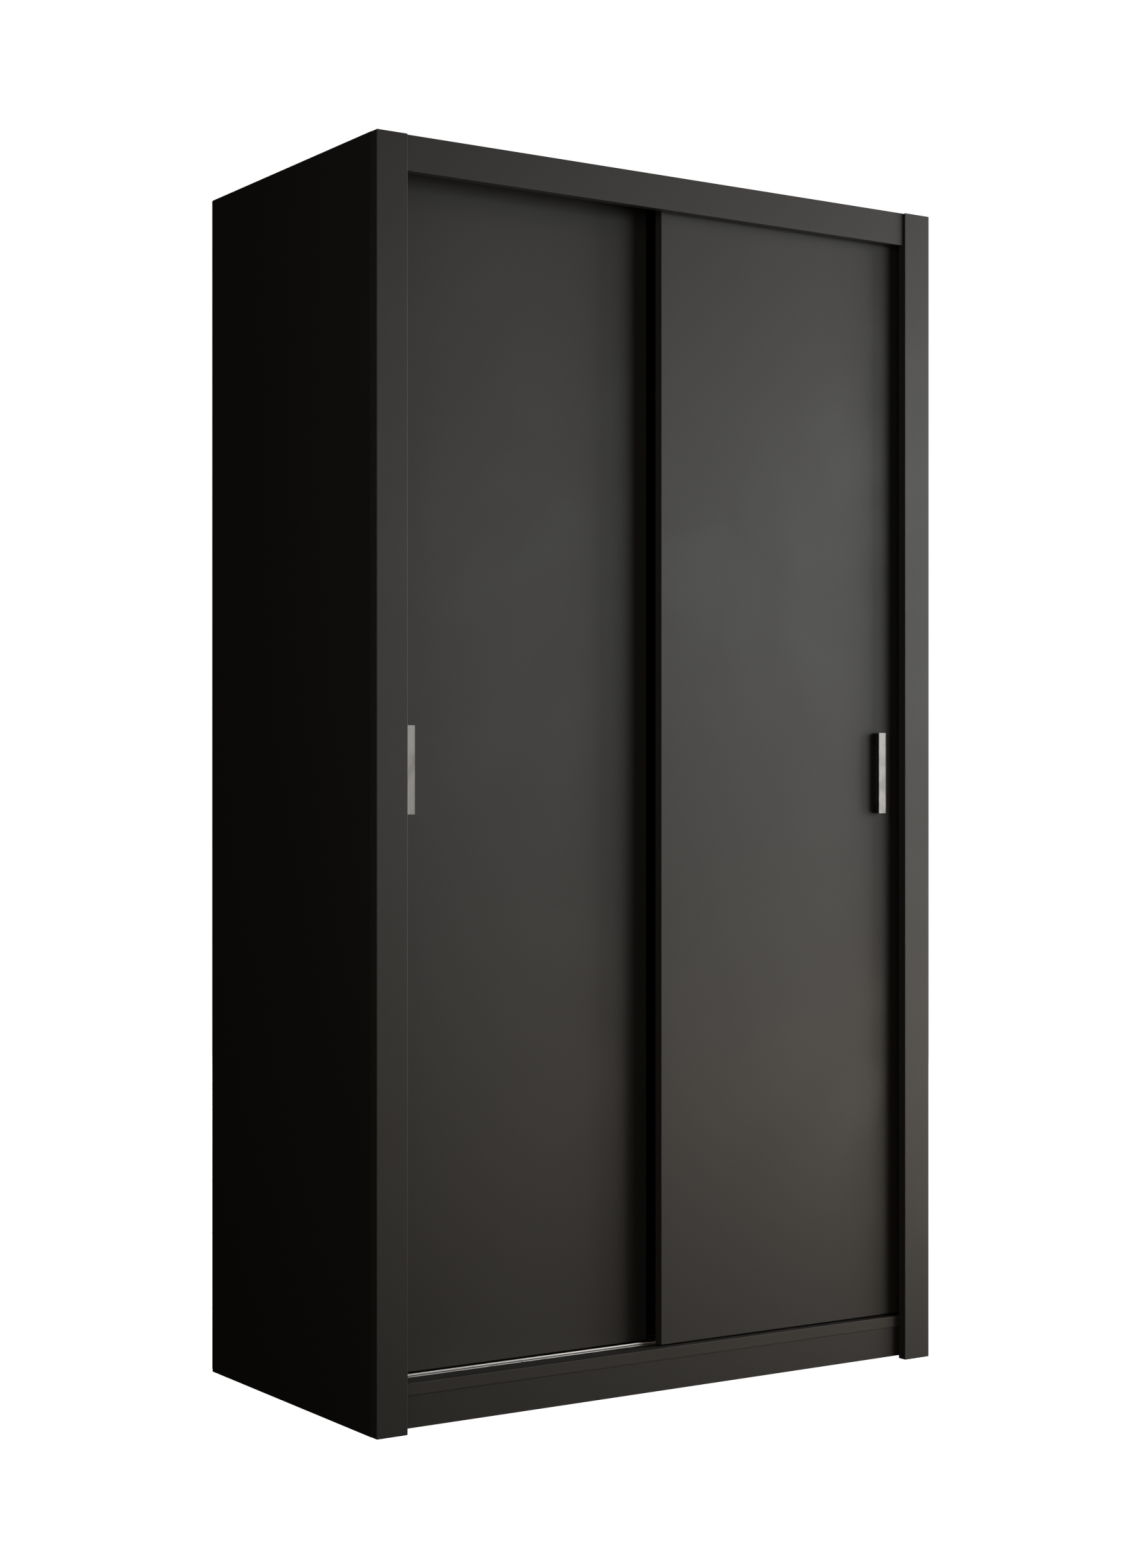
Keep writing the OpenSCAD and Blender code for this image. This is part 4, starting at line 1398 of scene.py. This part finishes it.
@dataclass
class Studio:
    """Pale floor, white surroundings and soft light from the front right."""

    reach: float = 80.0
    front: tuple[float, float, float] = (0.15, -0.3, 1.1)
    back: tuple[float, float, float] = (0.0, 0.3, 1.0)

    def lamps(self) -> tuple[Softbox, ...]:
        """Lists the softboxes: strong ones at the right, fills at the left, two behind.

        Returns:
            The softboxes.
        """
        return (
            Softbox("key", (2.8, -3.5, 1.9), self.front, 2.6, 1.6, 39.0, (0.93, 0.98, 1.0)),
            Softbox("key_high", (3.0, -2.9, 3.6), self.front, 2.6, 1.4, 8.0, (1.0, 0.7, 0.6)),
            Softbox("side_right", (4.2, -1.6, 1.6), self.front, 1.6, 3.0, 95.0,
                    (1.0, 0.985, 0.95)),
            Softbox("low_right", (2.4, -2.2, 0.2), (0.5, -0.3, 0.2), 1.6, 0.3, 13.0,
                    (1.0, 0.86, 0.73)),
            Softbox("low_front", (0.8, -3.2, 0.35), (0.0, -0.3, 0.6), 2.6, 0.5, 1.5,
                    (1.0, 0.62, 0.3)),
            Softbox("front_left", (-1.6, -5.2, 2.1), self.front, 2.4, 2.4, 16.0,
                    (1.0, 0.84, 0.71), mirrored=False),
            Softbox("left", (-4.2, -2.4, 2.2), (-0.6, -0.2, 1.3), 1.5, 2.0, 17.0,
                    (1.0, 0.93, 0.83), mirrored=False),
            Softbox("left_near", (-1.8, -1.8, 1.6), (-0.6, -0.3, 1.2), 0.8, 2.2, 5.0,
                    (1.0, 0.91, 0.8), mirrored=False),
            Softbox("back_right", (3.0, 4.5, 2.2), self.back, 2.5, 2.5, 150.0, mirrored=False),
            Softbox("back_high", (0.5, 2.5, 4.5), self.back, 2.0, 2.0, 60.0, mirrored=False),
        )

    def build(self) -> None:
        """Sets up the floor, the surroundings and the lamps."""
        self.floor()
        self.surroundings()
        for lamp in self.lamps():
            lamp.build()
        bpy.context.scene.view_settings.view_transform = "Standard"

    def floor(self) -> None:
        """Lays a wide pale floor that neither lights the wardrobe nor shows in its gloss."""
        mesh = bmesh.new()
        bmesh.ops.create_grid(mesh, x_segments=4, y_segments=4, size=self.reach)
        data = bpy.data.meshes.new("floor")
        mesh.to_mesh(data)
        mesh.free()
        floor = bpy.data.objects.new("floor", data)
        bpy.context.scene.collection.objects.link(floor)
        surface = Surface("pale_floor")
        surface.set(Base_Color=paint(0.8, 0.8, 0.8), Roughness=0.9,
                    Emission_Color=paint(1.0, 1.0, 1.0), Emission_Strength=1.0)
        data.materials.append(surface.material)
        floor.visible_diffuse = False
        floor.visible_glossy = False

    @staticmethod
    def surroundings() -> None:
        """Makes the space round the wardrobe white, for the camera only."""
        world = bpy.data.worlds.new("white_studio")
        world.use_nodes = True
        ground = world.node_tree.nodes["Background"]
        ground.inputs["Color"].default_value = paint(1.0, 1.0, 1.0)
        ground.inputs["Strength"].default_value = 1.0
        world.cycles_visibility.diffuse = False
        world.cycles_visibility.glossy = False
        bpy.context.scene.world = world


@dataclass
class Viewpoint:
    """Level camera in front of the wardrobe, to its left."""

    turn: float = math.radians(32.46)
    distance: float = 4.8428
    sideways: float = -0.1433
    height: float = 1.0456
    lens: float = 59.71
    shift: tuple[float, float] = (0.0459, 0.0116)
    sensor: float = 36.0
    far: float = 500.0

    def build(self) -> None:
        """Adds the camera and makes it the scene's."""
        ahead = Vector((math.sin(self.turn), math.cos(self.turn), 0.0))
        right = Vector((math.cos(self.turn), -math.sin(self.turn), 0.0))
        lens = bpy.data.cameras.new("camera")
        lens.lens = self.lens
        lens.sensor_width = self.sensor
        lens.shift_x, lens.shift_y = self.shift
        lens.clip_end = self.far
        camera = bpy.data.objects.new("camera", lens)
        camera.location = right * self.sideways - ahead * self.distance
        camera.location.z = self.height
        camera.rotation_euler = ahead.to_track_quat("-Z", "Y").to_euler()
        bpy.context.scene.collection.objects.link(camera)
        bpy.context.scene.camera = camera


def main() -> None:
    """Builds the wardrobe's sub-assemblies, the studio and the camera."""
    logging.basicConfig(level=logging.INFO, format="%(name)s: %(message)s")
    shop = Workshop()
    parts: Iterable[Any] = (
        Carcass(shop), Interior(shop), Back(shop), Joinery(shop), Rails(shop),
        Fasteners(shop), SlidingDoor(shop, Side.LEFT), SlidingDoor(shop, Side.RIGHT),
        Studio(), Viewpoint())
    for part in parts:
        part.build()
        LOG.info("%s is done", type(part).__name__)


if __name__ == "__main__":
    main()
